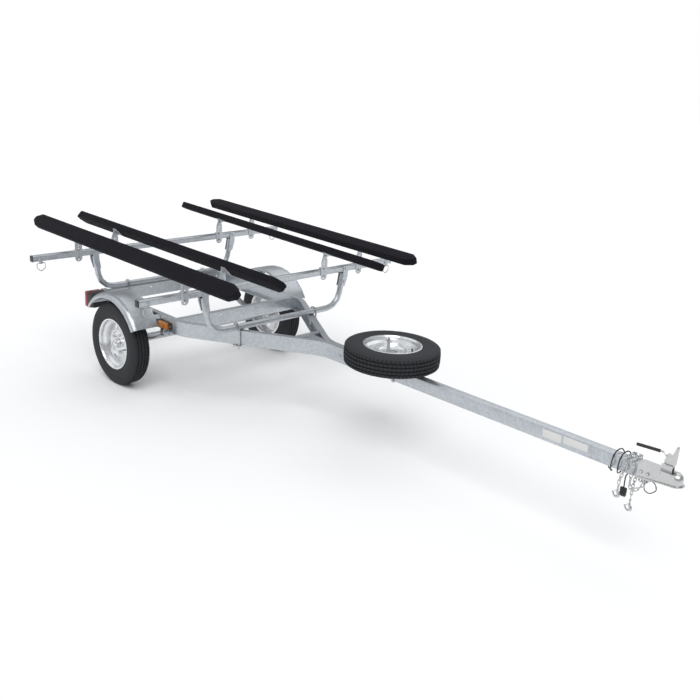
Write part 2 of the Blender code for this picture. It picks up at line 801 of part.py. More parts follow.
def hub_mesh():
    """Hub with flange, studs with nuts and grease cap; the outer side is +Z."""
    face = WHEEL_FACE - 0.004 - TOUCH
    sides = SPINDLE_SIDES
    bore = bore_for(SPINDLE_RADIUS, sides)
    body = turned(
        [
            (bore, -0.044),
            (0.029, -0.044),
            (0.030, face - 0.008),
            (LUG_CIRCLE + 0.013, face - 0.008),
            (LUG_CIRCLE + 0.013, face),
            (HUB_PILOT - 0.0008, face),
            (HUB_PILOT - 0.0008, face + 0.012),
            (0.025, face + 0.034),
            (0.016, face + 0.040),
            (0.0, face + 0.041),
            (0.0, 0.027),
            (bore, 0.025),
        ],
        sides,
    )
    studs = []
    for number in range(LUG_COUNT):
        angle = 2 * pi * number / LUG_COUNT
        x, y = LUG_CIRCLE * cos(angle), LUG_CIRCLE * sin(angle)
        seat = WHEEL_FACE + TOUCH
        studs.append(rod((x, y, face - 0.004), (x, y, seat + 0.010), 0.0055, 6))
        studs.append(rod((x, y, seat), (x, y, seat + 0.016), 0.0105, 6))
    return fused(body, *studs)


def wheel(side_name, side):
    """Hub, rim and tyre of one side, all on the axle's line."""
    place = (0, side * WHEEL_Y, AXLE_HEIGHT)
    turn = (-side * pi / 2, 0, 0)
    add_part(f"hub_{side_name}", hub_mesh(), "zinc", place, turn, 30)
    add_part(f"rim_{side_name}", rim_mesh(), "rim", place, turn, 30)
    add_part(f"tyre_{side_name}", tyre_mesh(), "tyre", place, turn, 30)


def fender(name, side):
    """A curved skin with a rolled outer edge, on two stays from the rail."""
    inner, outer = FENDER_INNER_Y, FENDER_OUTER_Y
    radius = FENDER_RADIUS
    profile = [
        (radius - 0.014, inner),
        (radius, inner + 0.003),
        (radius, outer - 0.034),
        (radius - 0.005, outer - 0.014),
        (radius - 0.018, outer - 0.002),
        (radius - 0.034, outer),
    ]
    mesh = bpy.data.meshes.new("fender")
    edges = [(number, number + 1) for number in range(len(profile) - 1)]
    mesh.from_pydata([(r, 0, y) for r, y in profile], edges, [])
    thing = bpy.data.objects.new("fender", mesh)
    screw = thing.modifiers.new("turn", "SCREW")
    screw.angle = radians(FENDER_REAR - FENDER_FRONT)
    screw.steps = FENDER_STEPS
    screw.render_steps = FENDER_STEPS
    screw.use_merge_vertices = False
    shell = thing.modifiers.new("skin", "SOLIDIFY")
    shell.thickness = FENDER_SKIN
    shell.offset = 0
    skin = tidy(evaluated_mesh(thing))
    skin.transform(Matrix.Rotation(radians(FENDER_FRONT), 4, "Z"))
    skin.transform(Matrix(((1, 0, 0), (0, 0, 1), (0, 1, 0))).to_4x4())
    tidy(skin)
    stays = []
    stay = 0.004
    seat = RAIL_HALF_GAUGE + TOUCH
    for angle in STAY_ANGLES:
        reach = FENDER_RADIUS - FENDER_SKIN / 2 - stay / 2 + 0.0004
        x, z = reach * cos(radians(angle)), reach * sin(radians(angle))
        turn = (0, -radians(angle), 0)
        length = outer - 0.045 - seat
        stays.append(box((stay, length, 0.030), (x, seat + length / 2, z), turn))
        stays.append(box((0.034, stay, 0.034), (x, seat + stay / 2, z)))
    whole = fused(skin, *stays)
    if side < 0:
        whole = mirrored(whole)
    add_part(name, whole, "galvanised", (0, 0, AXLE_HEIGHT), smooth=35)


def tail_light(side_name, side):
    """Square lamp housing on the rail's side, with its lens behind."""
    seat = RAIL_HALF_GAUGE + TOUCH
    y = side * (seat + TAIL_DEPTH / 2)
    z = RAIL_MIDDLE - 0.012
    shape = bmesh.new()
    shape.from_mesh(box((0.062, TAIL_DEPTH, TAIL_HEIGHT), (-0.393, y, z)))
    front = [vert for vert in shape.verts if vert.co.x > -0.393]
    for vert in front:
        vert.co.z = z + (vert.co.z - z) * 0.86
        vert.co.y = side * seat + (vert.co.y - side * seat) * 0.90
    bmesh.ops.bevel(shape, geom=shape.edges[:], offset=0.004, segments=1, affect="EDGES")
    housing = bpy.data.meshes.new("housing")
    shape.to_mesh(housing)
    shape.free()
    add_part(f"tail_light_{side_name}", housing, "black_plastic")
    lens_shape = bmesh.new()
    back = -0.393 - 0.031 - TOUCH - 0.018
    lens_shape.from_mesh(box((0.036, TAIL_DEPTH, TAIL_HEIGHT), (back, y, z)))
    bmesh.ops.bevel(
        lens_shape, geom=lens_shape.edges[:], offset=0.006, segments=1, affect="EDGES"
    )
    lens = bpy.data.meshes.new("lens")
    lens_shape.to_mesh(lens)
    lens_shape.free()
    add_part(f"tail_lens_{side_name}", lens, "red_lens")


def side_marker(name, side):
    """Amber marker with its base on the rail's side."""
    seat = RAIL_HALF_GAUGE + TOUCH
    z = RAIL_MIDDLE - 0.006
    back, front = MARKER_X
    base_size = (front - back, 0.007, MARKER_HEIGHT)
    base = box(base_size, ((front + back) / 2, side * (seat + 0.0035), z))
    back, front = MARKER_LENS_X
    shape = bmesh.new()
    lens_size = (front - back, 0.020, MARKER_HEIGHT - 0.004)
    shape.from_mesh(box(lens_size, ((front + back) / 2, side * (seat + 0.0155), z)))
    bmesh.ops.bevel(shape, geom=shape.edges[:], offset=0.004, segments=1, affect="EDGES")
    lens = bpy.data.meshes.new("lens")
    shape.to_mesh(lens)
    shape.free()
    add_part(name, fused(base, lens), "amber_lens")


def arm_y(z):
    """Distance from the middle at which an arm's own middle passes a height."""
    share = (z - SUPPORT_MIDDLE) / (ARM_TOP - SUPPORT_MIDDLE)
    return ARM_FOOT_Y + share * (ARM_TOP_Y - ARM_FOOT_Y)


def arm_bracket(x, side):
    """Front and back plates that clasp the arm and the load bar, with their bolts."""
    gap = BAR_HALF + TOUCH
    lean = (ARM_TOP_Y - ARM_FOOT_Y) / (ARM_TOP - SUPPORT_MIDDLE)
    half = ARM_PLATE_WIDTH / 2
    middle = side * arm_y(BAR_HEIGHT)
    foot = side * arm_y(ARM_PLATE_FOOT)
    turn_y = side * arm_y(BAR_BOTTOM)
    outline = [
        (foot - half * 0.8, ARM_PLATE_FOOT),
        (foot + half * 0.8, ARM_PLATE_FOOT),
        (turn_y + half, BAR_BOTTOM - 0.03),
        (middle + half, BAR_TOP - 0.002),
        (middle - half, BAR_TOP - 0.002),
        (turn_y - half, BAR_BOTTOM - 0.03),
    ]
    pieces = []
    for end in (-1, 1):
        cheek = plate(outline, ARM_PLATE, FACING_X)
        pieces.append(moved(cheek, (x + end * (gap + ARM_PLATE / 2), 0, 0)))
    reach = gap + ARM_PLATE
    end_x = reach + 0.006
    pieces.append(hex_bar((x - end_x, middle, BAR_HEIGHT), (x + end_x, middle, BAR_HEIGHT)))
    low = ARM_PLATE_FOOT + 0.030
    for end in (-1, 1):
        y = side * arm_y(low)
        pieces.append(hex_bar((x + end * (gap - 0.0020), y, low), (x + end * (reach + 0.006), y, low)))
    return pieces


def support_tube(name, x):
    """A wide U of round tube, open at the top of each arm."""
    path = [
        (x, -ARM_TOP_Y, ARM_TOP),
        (x, -ARM_FOOT_Y, SUPPORT_MIDDLE),
        (x, ARM_FOOT_Y, SUPPORT_MIDDLE),
        (x, ARM_TOP_Y, ARM_TOP),
    ]
    outer = wire(filleted(path, ARM_BEND, 3), TUBE_RADIUS, 3)
    past = ARM_TOP + 0.02
    path[0] = (x, -arm_y(past), past)
    path[-1] = (x, arm_y(past), past)
    inner = wire(filleted(path, ARM_BEND, 3), TUBE_RADIUS - TUBE_WALL, 1)
    tube = carved(outer, inner)
    pieces = arm_bracket(x, -1) + arm_bracket(x, 1)
    add_part(name, fused(tube, *pieces), "galvanised", smooth=35)


def tube_clamp(name, x, y, seat):
    """U-bolt over a support tube, with its plate and nuts under the frame."""
    inside = TUBE_RADIUS + TOUCH
    legs = SUPPORT_MIDDLE - seat + 0.022
    bolt = bent_bolt(inside, 2 * CLAMP_BOLT, legs, FACING_Y, 0.010)
    moved(bolt, (0, 0, SUPPORT_MIDDLE), (pi, 0, 0))
    pad = box((2 * LEG_OFFSET + 0.026, 0.026, 0.005), (0, 0, seat - TOUCH - 0.0025))
    nuts = []
    for end in (-1, 1):
        nuts.append(nut((end * LEG_OFFSET, 0, seat - TOUCH - 0.0075), (0, 0, 1)))
    add_part(name, fused(bolt, pad, *nuts), "zinc", (x, y, 0))


def load_bar(name, x):
    """Square bar with end caps and the clips that hold the tie rings."""
    shape = bmesh.new()
    shape.from_mesh(box((BAR_SECTION, BAR_LENGTH, BAR_SECTION)))
    runs = [edge for edge in shape.edges if abs(edge.verts[0].co.y - edge.verts[1].co.y) > 0.1]
    bmesh.ops.bevel(shape, geom=runs, offset=BAR_CORNER, segments=1, affect="EDGES")
    outer = bpy.data.meshes.new("bar")
    shape.to_mesh(outer)
    shape.free()
    hollow = BAR_SECTION - 2 * BAR_WALL
    cutters = [box((hollow, BAR_LENGTH - 0.006, hollow))]
    for side in (-1, 1):
        y = side * arm_y(BAR_HEIGHT)
        cutters.append(rod((-0.05, y, 0), (0.05, y, 0), BOLT_BAR + BOLT_CLEARANCE, 6))
    bar = carved(outer, *cutters)
    clips = []
    eye_z = RING_HEIGHT - BAR_HEIGHT
    for side in (-1, 1):
        y = side * RING_Y
        tab_top = 0.008
        tab = box((0.004, 0.022, tab_top - eye_z), (BAR_HALF + 0.0015, y, (tab_top + eye_z) / 2))
        eye = rod((RING_X, y - 0.011, eye_z), (RING_X, y + 0.011, eye_z), 0.0068, 8)
        bore = rod((RING_X, y - 0.02, eye_z), (RING_X, y + 0.02, eye_z), RING_WIRE + 0.0005, 8)
        clips.append(carved(fused(tab, eye), bore))
    add_part(name, fused(bar, *clips), "galvanised", (x, 0, BAR_HEIGHT))


def tie_ring(name, x, side):
    """A wire loop that swings in its clip; its origin is on the swing axis."""
    half = RING_WIDTH / 2
    corners = [
        (0, 0, 0),
        (0, half, 0),
        (0, half * 0.9, -RING_DROP * 0.62),
        (0, 0, -RING_DROP),
        (0, -half * 0.9, -RING_DROP * 0.62),
        (0, -half, 0),
        (0, 0, 0),
    ]
    path = filleted(corners, 0.008, 1)[:-1]
    mesh = wire(path, RING_WIRE, 1, closed=True)
    add_part(name, mesh, "zinc", (x + RING_X, side * RING_Y, RING_HEIGHT), smooth=60)


def bunk_bracket(name, x, y):
    """Holed strap on the bar's face, its U-bolt and the bunk's pivot bolt."""
    half = STRAP_WIDTH / 2
    lower = circle((0, STRAP_FOOT + half), half, 5, pi, 2 * pi)
    upper = circle((0, PIVOT_HEIGHT), 0.014, 3, radians(30), radians(150))
    outline = [*lower, (half, PIVOT_HEIGHT - 0.030), *upper, (-half, PIVOT_HEIGHT - 0.030)]
    holes = [circle((0, STRAP_FOOT + 0.010), STRAP_HOLE, 6)]
    holes.append(circle((0, BAR_TOP + 0.030), STRAP_HOLE, 6))
    strap = plate(outline, STRAP_THICKNESS, FACING_X, holes)
    moved(strap, (STRAP_X, 0, 0))
    front = STRAP_X + STRAP_THICKNESS / 2
    back = STRAP_X - STRAP_THICKNESS / 2
    inside = BAR_HALF + TOUCH
    bolt = bent_bolt(inside, 2 * STRAP_BOLT, front + 0.012, FACING_Y)
    pieces = [moved(bolt, (0, 0, BAR_HEIGHT), (0, pi / 2, 0))]
    ear_front = EAR_X + STRAP_THICKNESS / 2 + WASHER_GAP
    pivot = PIVOT_HEIGHT
    pieces.append(rod((back + 0.001, 0, pivot), (ear_front + 0.002, 0, pivot), CLAMP_BOLT, 6))
    pieces.append(nut((back - 0.0025, 0, pivot), (1, 0, 0), 0.0073, 0.006))
    pieces.append(nut((ear_front + 0.003, 0, pivot), (1, 0, 0), 0.0073, 0.006))
    add_part(name, fused(strap, *pieces), "galvanised", (x, y, 0))


def bunk(name, rear_y, front_y, lean):
    """Carpeted board with an ear at each strap; its origin is on the tilt axis."""
    middle_x = (BAR_X[0] + BAR_X[1]) / 2
    span = BAR_X[1] - BAR_X[0]
    yaw = atan2(front_y - rear_y, span)
    half = BUNK_LENGTH / 2
    edge = BUNK_WIDTH / 2
    shift = (BUNK_MIDDLE_X - middle_x - EAR_X) / cos(yaw)
    blunt = edge * 0.35
    outline = [
        (-half, -blunt),
        (BUNK_CHAMFER - half, -edge),
        (half - BUNK_CHAMFER, -edge),
        (half, -blunt),
        (half, blunt),
        (half - BUNK_CHAMFER, edge),
        (BUNK_CHAMFER - half, edge),
        (-half, blunt),
    ]
    board = plate(outline, BUNK_THICKNESS, Matrix.Translation((shift, 0, PIVOT_DROP)))
    shape = bmesh.new()
    shape.from_mesh(board)
    bmesh.ops.dissolve_limit(
        shape, angle_limit=0.01, verts=shape.verts[:], edges=shape.edges[:]
    )
    runs = [edge for edge in shape.edges if edge.calc_length() > 0.1]
    bmesh.ops.bevel(shape, geom=runs, offset=BUNK_CORNER, segments=1, affect="EDGES")
    shape.to_mesh(board)
    shape.free()
    pieces = []
    base = EAR_BASE / 2
    seat = PIVOT_DROP - BUNK_THICKNESS / 2 + 0.002
    for end in (-1, 1):
        tip = circle((0, 0), EAR_TIP, 6, radians(215), radians(325))
        ear_outline = [(-base, seat), *tip, (base, seat)]
        hole = circle((0, 0), CLAMP_BOLT + 0.0020, 6)
        ear = plate(ear_outline, STRAP_THICKNESS, FACING_X, [hole])
        moved(ear, (end * span / 2 / cos(yaw), 0, 0))
        pieces.append(ear)
    whole = fused(board, *pieces)
    place = (middle_x + EAR_X, (rear_y + front_y) / 2, PIVOT_HEIGHT)
    turn = Euler((radians(lean), 0, yaw)).to_quaternion()
    thing = add_part(name, whole, "carpet", place)
    thing.rotation_euler = turn.to_euler()


def dome_profile(radius, depth):
    """Half outline of a round-topped plug that reaches depth below its centre."""
    arc = circle((0, 0), radius, 4, 0, pi / 2)
    return [(0, -depth), (radius, -depth), *arc[:-1], (0, radius)]


def coupler_body():
    """Pressed channel that tapers to a ball socket, with lever ears on top."""
    inner_half = TONGUE_WIDTH / 2 + TOUCH
    outer_half = inner_half + COUPLER_WALL
    top = TONGUE_TOP + TOUCH + COUPLER_WALL
    bottom = COUPLER_FLOOR
    rear = COUPLER_REAR
    slope = FLOOR_RISE / (BALL_X - rear)
    neck = TONGUE_FRONT + 0.020

    def shell(half, roof, floor, back, front_half, front_roof):
        outline = [
            (back, floor + (back - rear) * slope),
            (BALL_X, floor + FLOOR_RISE),
            (BALL_X, front_roof),
            (neck, roof),
            (back, roof),
        ]
        block = plate(outline, 2 * half, FACING_Y)
        for vert in block.vertices:
            if vert.co.x > BALL_X - 0.001:
                vert.co.y *= front_half / half
        return block

    socket = SOCKET_RADIUS + COUPLER_WALL
    outer = shell(outer_half, top, bottom + 0.001, rear, socket * 0.96, BALL_HEIGHT + socket * 0.75)
    inner = shell(
        inner_half,
        top - COUPLER_WALL,
        bottom - 0.05,
        rear - 0.05,
        SOCKET_RADIUS * 0.96,
        BALL_HEIGHT + SOCKET_RADIUS * 0.75,
    )
    rim = socket + 0.008
    flange = circle((BALL_X, 0), rim, 12, -pi / 2, pi / 2)
    flange += [(neck, outer_half + 0.006), (rear + 0.004, outer_half + 0.004)]
    flange += [(rear + 0.004, -outer_half - 0.004), (neck, -outer_half - 0.006)]
    lip = plate(flange, 0.004, Matrix.Translation((0, 0, bottom + 0.002)))
    for vert in lip.vertices:
        vert.co.z += (vert.co.x - rear) * slope
    drop = BALL_HEIGHT - bottom - FLOOR_RISE - 0.0015
    dome = turned(dome_profile(socket, drop), 12, False)
    moved(dome, (BALL_X, 0, BALL_HEIGHT))
    ears = []
    pin_x, pin_z = LATCH_PIN
    ear_top, ear_foot = pin_z + 0.007, JAW_PIN[1]
    for side in (-1, 1):
        middle = (pin_x, side * 0.0115, (ear_top + ear_foot) / 2)
        ears.append(box((0.050, 0.004, ear_top - ear_foot), middle))
    body = fused(outer, lip, dome, *ears)
    socket_space = turned(dome_profile(SOCKET_RADIUS, 0.05), 12, False)
    moved(socket_space, (BALL_X, 0, BALL_HEIGHT))
    pin_hole = bore_for(PIN_RADIUS, 8)
    latch_hole = rod((pin_x, -0.02, pin_z), (pin_x, 0.02, pin_z), pin_hole, 8)
    jaw_x, jaw_z = JAW_PIN
    holes = [latch_hole, rod((jaw_x, -0.05, jaw_z), (jaw_x, 0.05, jaw_z), pin_hole, 8)]
    for x in COUPLER_BOLTS_X:
        spot = (x, 0.05, TONGUE_MIDDLE)
        holes.append(rod((x, -0.05, TONGUE_MIDDLE), spot, BOLT_BAR + BOLT_CLEARANCE, 6))
    body = carved(body, inner, socket_space, *holes)
    add_part("coupler_body", body, "zinc", smooth=35)


def coupler_lever():
    """Latch plate, rod and dipped grip; its origin is on the latch pin."""
    pin_x, pin_z = LATCH_PIN
    plate_outline = [
        (-0.014, -0.010),
        (0.020, -0.010),
        (0.031, 0.012),
        (0.034, 0.092),
        (0.027, 0.097),
        (0.011, 0.048),
        (-0.008, 0.056),
        (-0.018, 0.024),
    ]
    blade = plate(plate_outline, 0.016, FACING_Y)
    pin = rod((0, -0.016, 0), (0, 0.016, 0), PIN_RADIUS, 8)
    bends = [(-0.004, 0, 0.030), (-0.030, 0, 0.0535), (-0.090, 0, 0.0495)]
    stem = wire(filleted(bends, 0.012, 3), 0.004, 1)
    grip = rod((-0.045, 0, 0.0525), (-0.157, 0, 0.0450), 0.0078, 12)
    lever = fused(blade, pin, stem, grip)
    add_part("coupler_lever", lever, "zinc", (pin_x, 0, pin_z))


def coupler_jaw():
    """Ball clamp inside the socket; its origin is on its own pin."""
    jaw_x, jaw_z = JAW_PIN
    outline = [
        (-0.010, 0.0055),
        (0.006, 0.0055),
        (0.014, -0.006),
        (0.040, -0.014),
        (0.040, -0.034),
        (0.028, -0.036),
        (0.008, -0.026),
        (-0.010, -0.010),
    ]
    arm = plate(outline, 0.024, FACING_Y)
    pin_reach = TONGUE_WIDTH / 2 + COUPLER_WALL
    pin = rod((0, -pin_reach, 0), (0, pin_reach, 0), PIN_RADIUS, 8)
    clear = ball((BALL_X - jaw_x, 0, BALL_HEIGHT - jaw_z), SOCKET_RADIUS + 0.001)
    add_part("coupler_ball_clamp", carved(fused(arm, pin), clear), "dark_steel", (jaw_x, 0, jaw_z))


def spare_wheel():
    """The spare, flat on its carrier over the tongue."""
    place = (SPARE_X, 0, SPARE_HEIGHT)
    add_part("spare_rim", rim_mesh(), "rim", place, smooth=30)
    add_part("spare_tyre", tyre_mesh(), "tyre", place, smooth=30)


def spare_carrier():
    """Saddle on the tongue with U-bolts, riser, top plate and the stud for one lug hole."""
    seat = TONGUE_TOP + TOUCH
    under = SPARE_HEIGHT + WHEEL_FACE - 0.004 - TOUCH
    base = box((0.110, 0.086, 0.005), (SPARE_X, 0, seat + 0.0025))
    riser = rod((SPARE_X, 0, seat + 0.003), (SPARE_X, 0, under - 0.003), 0.030, 12)
    turn = atan2(STUD_Y, STUD_X - SPARE_X)
    middle = (SPARE_X + 0.0075 * cos(turn), 0.0075 * sin(turn), under - 0.0035)
    top = box((0.125, 0.060, 0.007), middle, (0, 0, turn))
    stud = rod((STUD_X, STUD_Y, under - 0.004), (STUD_X, STUD_Y, STUD_TOP), STUD_RADIUS, 10)
    pieces = [riser, top, stud]
    for x in (SPARE_X - 0.043, SPARE_X + 0.043):
        legs = TONGUE_HEIGHT / 2 + 0.014
        bolt = bent_bolt(TONGUE_WIDTH / 2 + TOUCH, 2 * CLAMP_BOLT, legs, FACING_X)
        for vert in bolt.vertices:
            if vert.co.z < 0:
                vert.co.z -= (TONGUE_HEIGHT - TONGUE_WIDTH) / 2
        pieces.append(moved(bolt, (x, 0, TONGUE_MIDDLE)))
    add_part("spare_carrier", fused(base, *pieces), "galvanised")


def spare_nut():
    """Long clamp nut that holds the spare down; its origin is on the stud."""
    seat = WHEEL_FACE + TOUCH
    top = STUD_TOP - SPARE_HEIGHT - 0.010
    bore = bore_for(STUD_RADIUS, 10)
    sleeve = turned(
        [
            (bore, seat),
            (0.0125, seat),
            (0.0125, seat + 0.005),
            (0.0095, seat + 0.008),
            (0.0095, top),
            (bore, top),
        ],
        10,
    )
    bar = rod((-0.022, 0, top - 0.010), (0.022, 0, top - 0.010), 0.0045, 8)
    bar = carved(bar, rod((0, 0, 0), (0, 0, 0.2), bore + 0.001, 8))
    place = (STUD_X, STUD_Y, SPARE_HEIGHT)
    add_part("spare_carrier_nut", fused(sleeve, bar), "zinc", place)


# Routes of the chains, chosen by hand in the trailer's own frame
CHAIN_ROUTES = {
    "right": [
        (3.285, -0.010, 0.4258),
        (3.285, -0.010, 0.4160),
        (3.284, -0.011, 0.4020),
        (3.270, -0.022, 0.3800),
        (3.250, -0.038, 0.3680),
        (3.237, -0.046, 0.3880),
        (3.234, -0.042, 0.4250),
        (3.234, -0.0395, 0.4600),
        (3.234, -0.035, 0.5060),
        (3.232, 0.000, 0.5140),
        (3.230, 0.035, 0.5060),
        (3.228, 0.0395, 0.4600),
        (3.223, 0.042, 0.4200),
        (3.212, 0.044, 0.3500),
        (3.210, 0.045, 0.3000),
        (3.210, 0.045, 0.2800),
    ],
    "left": [
        (3.285, 0.010, 0.4258),
        (3.285, 0.010, 0.4160),
        (3.283, 0.013, 0.4040),
        (3.264, 0.036, 0.3900),
        (3.240, 0.060, 0.3780),
        (3.216, 0.066, 0.3860),
        (3.206, 0.054, 0.4120),
        (3.204, 0.0395, 0.4600),
        (3.204, 0.035, 0.5060),
        (3.204, 0.000, 0.5140),
        (3.203, -0.035, 0.5060),
        (3.201, -0.0395, 0.4600),
        (3.193, -0.046, 0.4250),
        (3.187, -0.050, 0.3900),
        (3.187, -0.050, 0.3720),
    ],
}


def safety_chain(side_name):
    """The chain's run from its bolt over the tongue down to the hook."""
    path = smoothed(CHAIN_ROUTES[side_name])
    add_part(f"safety_chain_{side_name}", wire(path, CHAIN_RADIUS, 1), "zinc", smooth=40)


def safety_hook(side_name):
    """Slip hook under the end of its chain."""
    x, y, z = CHAIN_ROUTES[side_name][-1]
    top = z - 2 * TOUCH
    shank = rod((0, 0, 0), (0, 0, -0.014), 0.006, 8)
    hook = wire(
        filleted(
            [
                (0, 0, -0.010),
                (0, 0, -0.030),
                (0.012, 0, -0.052),
                (-0.012, 0, -0.060),
                (-0.024, 0, -0.038),
            ],
            0.008,
            2,
        ),
        HOOK_WIRE,
        1,
    )
    add_part(f"safety_hook_{side_name}", fused(shank, hook), "zinc", (x, y, top), smooth=40)


def signed_power(value, power):
    """The power of a number's size, with its sign kept."""
    return abs(value) ** power * (1 if value >= 0 else -1)


def lead_route():
    """The lead's middle line: out under the tongue, round it by turns, and down to the plug."""
    low = TONGUE_MIDDLE - TURN_HALF_HEIGHT
    bend = LEAD_BEND
    start = LEAD_EXIT_X
    path = [(start, 0, TONGUE_BOTTOM + 0.0013), (start, 0, low + bend)]
    path += [(start + bend * 0.3, 0, low + bend * 0.3), (start + bend, 0, low)]
    path.append((start + bend * 1.7, -bend * 0.3, low))
    first_x = start + 2 * bend
    skip = asin((bend / TURN_HALF_WIDTH) ** (TURN_SQUARENESS / 2))
    power = 2 / TURN_SQUARENESS
    count = LEAD_TURNS * TURN_POINTS
    for number in range(count):
        turn = skip + (2 * pi * LEAD_TURNS - skip) * number / (count - 1)
        y = -TURN_HALF_WIDTH * signed_power(sin(turn), power)
        z = TONGUE_MIDDLE - TURN_HALF_HEIGHT * signed_power(cos(turn), power)
        path.append((first_x + LEAD_PITCH * turn / (2 * pi), y, z))
    x = path[-1][0] + 0.002
    path += [(x, -bend * 0.7, low - bend * 0.3), (x + 0.001, -bend, low - bend)]
    path.append((x + 0.002, -bend, low - 0.055))
    return path


def least_gap(path, radius, step):
    """Least gap of a wound cord to itself, between points at least a step of points apart."""
    spots = [Vector(point) for point in path]
    pairs = [(a, b) for number, a in enumerate(spots) for b in spots[number + step :]]
    return min((a - b).length for a, b in pairs) - 2 * radius


def wiring():
    """The lead's turns round the tongue, and the flat plug at its end."""
    path = lead_route()
    gap = least_gap(path, LEAD_RADIUS, TURN_POINTS // 2)
    print(f"wiring lead: {LEAD_TURNS} turns, least gap to itself {gap * 1000:.1f} mm")
    add_part("wiring_lead", wire(path, LEAD_RADIUS, 1), "black_plastic", smooth=60)
    x, y, z = path[-1]
    length = PLUG_SIZE[2]
    body = box(PLUG_SIZE, (0, 0, -length / 2))
    pins = []
    for number in range(4):
        spot = -0.009 + 0.006 * number
        pins.append(rod((spot, 0, -length + 0.002), (spot, 0, -length - 0.006), 0.0018, 6))
    add_part("wiring_plug", fused(body, *pins), "black_plastic", (x, y, z - TOUCH))


def centre_on_datum():
    """Moves the datum so that the trailer's box, without the cords, stands on its middle."""
    bpy.context.view_layer.update()
    graph = bpy.context.evaluated_depsgraph_get()
    loose = ("safety_", "wiring_")
    low, high = [], []
    for thing in bpy.data.collections["kayak_trailer"].objects:
        if thing.type != "MESH" or thing.name.startswith(loose):
            continue
        shown = thing.evaluated_get(graph)
        xs = [(shown.matrix_world @ vert.co).x for vert in shown.data.vertices]
        low.append(min(xs))
        high.append(max(xs))
    bpy.data.objects["datum"].location.x = -(min(low) + max(high)) / 2


def build():
    """Makes the whole trailer."""
    clear_scene()
    make_materials()
    datum = bpy.data.objects.new("datum", None)
    bpy.data.collections["kayak_trailer"].objects.link(datum)
    for side_name, side in SIDES.items():
        rail = right_rail()
        if side > 0:
            rail = mirrored(rail)
        add_part(f"frame_rail_{side_name}", rail, "galvanised")
        leaf_spring(f"leaf_spring_{side_name}", side)
        wheel(side_name, side)
        fender(f"fender_{side_name}", side)
        tail_light(side_name, side)
        side_marker(f"side_marker_{side_name}", side)
        tube_clamp(f"rear_clamp_{side_name}", BAR_X[0], side * REAR_CLAMP_Y, RAIL_BOTTOM + RAIL_WALL)
        tube_clamp(f"front_clamp_{side_name}", BAR_X[1], side * FRONT_CLAMP_Y, RAIL_BOTTOM)
        tie_ring(f"tie_ring_rear_{side_name}", BAR_X[0], side)
        tie_ring(f"tie_ring_front_{side_name}", BAR_X[1], side)
        safety_chain(side_name)
        safety_hook(side_name)
    crossmember("rear_crossmember", CROSS_REAR_X)
    crossmember("front_crossmember", CROSS_FRONT_X)
    tongue_cross_channel()
    tongue()
    axle()
    for name, x in zip(("rear", "front"), BAR_X):
        support_tube(f"{name}_support_tube", x)
        load_bar(f"{name}_load_bar", x)
    for name, (rear_y, front_y, lean) in BUNK_STRAPS.items():
        bunk(name, rear_y, front_y, lean)
        bunk_bracket(name.replace("bunk", "bunk_bracket") + "_rear", BAR_X[0], rear_y)
        bunk_bracket(name.replace("bunk", "bunk_bracket") + "_front", BAR_X[1], front_y)
    coupler_body()
    coupler_lever()
    coupler_jaw()
    spare_wheel()
    spare_carrier()
    spare_nut()
    wiring()
    centre_on_datum()


build()
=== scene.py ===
from math import asin, atan2, cos, pi, radians, sin, tan

import bmesh
import bpy
from mathutils import Euler, Matrix, Vector


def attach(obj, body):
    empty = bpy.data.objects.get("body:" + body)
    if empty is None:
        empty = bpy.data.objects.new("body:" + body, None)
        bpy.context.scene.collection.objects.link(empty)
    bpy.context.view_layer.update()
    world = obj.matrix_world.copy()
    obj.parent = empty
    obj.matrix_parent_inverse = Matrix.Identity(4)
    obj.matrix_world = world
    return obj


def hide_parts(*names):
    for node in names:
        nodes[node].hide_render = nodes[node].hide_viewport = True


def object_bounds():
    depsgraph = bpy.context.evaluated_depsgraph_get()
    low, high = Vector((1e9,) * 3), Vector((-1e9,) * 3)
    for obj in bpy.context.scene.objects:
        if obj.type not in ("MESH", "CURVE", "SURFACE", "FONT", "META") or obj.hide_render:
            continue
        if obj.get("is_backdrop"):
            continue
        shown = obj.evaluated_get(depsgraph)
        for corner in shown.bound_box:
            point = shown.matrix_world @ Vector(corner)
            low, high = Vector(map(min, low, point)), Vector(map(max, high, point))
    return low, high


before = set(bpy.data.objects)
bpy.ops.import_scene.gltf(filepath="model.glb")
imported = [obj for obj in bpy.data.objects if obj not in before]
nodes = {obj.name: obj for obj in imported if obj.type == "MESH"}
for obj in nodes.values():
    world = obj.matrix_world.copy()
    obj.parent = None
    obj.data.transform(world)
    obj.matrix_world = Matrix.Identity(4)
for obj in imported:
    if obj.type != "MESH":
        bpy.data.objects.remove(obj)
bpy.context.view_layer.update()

# Camera: a standing viewer's place in front of the near corner of the coupler
# side. The trailer fills the frame from the rear bunk to the coupler.
PICTURE = 700
FOCAL_LENGTH = 46.94
FILM_WIDTH = 36
AIM_OFFSET = (-1.29, 0.44)
EYE = (3.5719, -3.5601, 2.1707)
eye_right = Vector((0.70521, 0.70630, 0.06184))
eye_up = Vector((-0.26891, 0.18576, 0.94508))
lens = bpy.data.cameras.new("camera")
lens.sensor_width = FILM_WIDTH
lens.lens = FOCAL_LENGTH
lens.shift_x = AIM_OFFSET[0] / PICTURE
lens.shift_y = AIM_OFFSET[1] / PICTURE
lens.clip_end = 200
camera = bpy.data.objects.new("camera", lens)
turned_eye = Matrix((eye_right, eye_up, eye_right.cross(eye_up))).transposed().to_4x4()
camera.matrix_world = Matrix.Translation(EYE) @ turned_eye
bpy.context.scene.collection.objects.link(camera)
bpy.context.scene.camera = camera

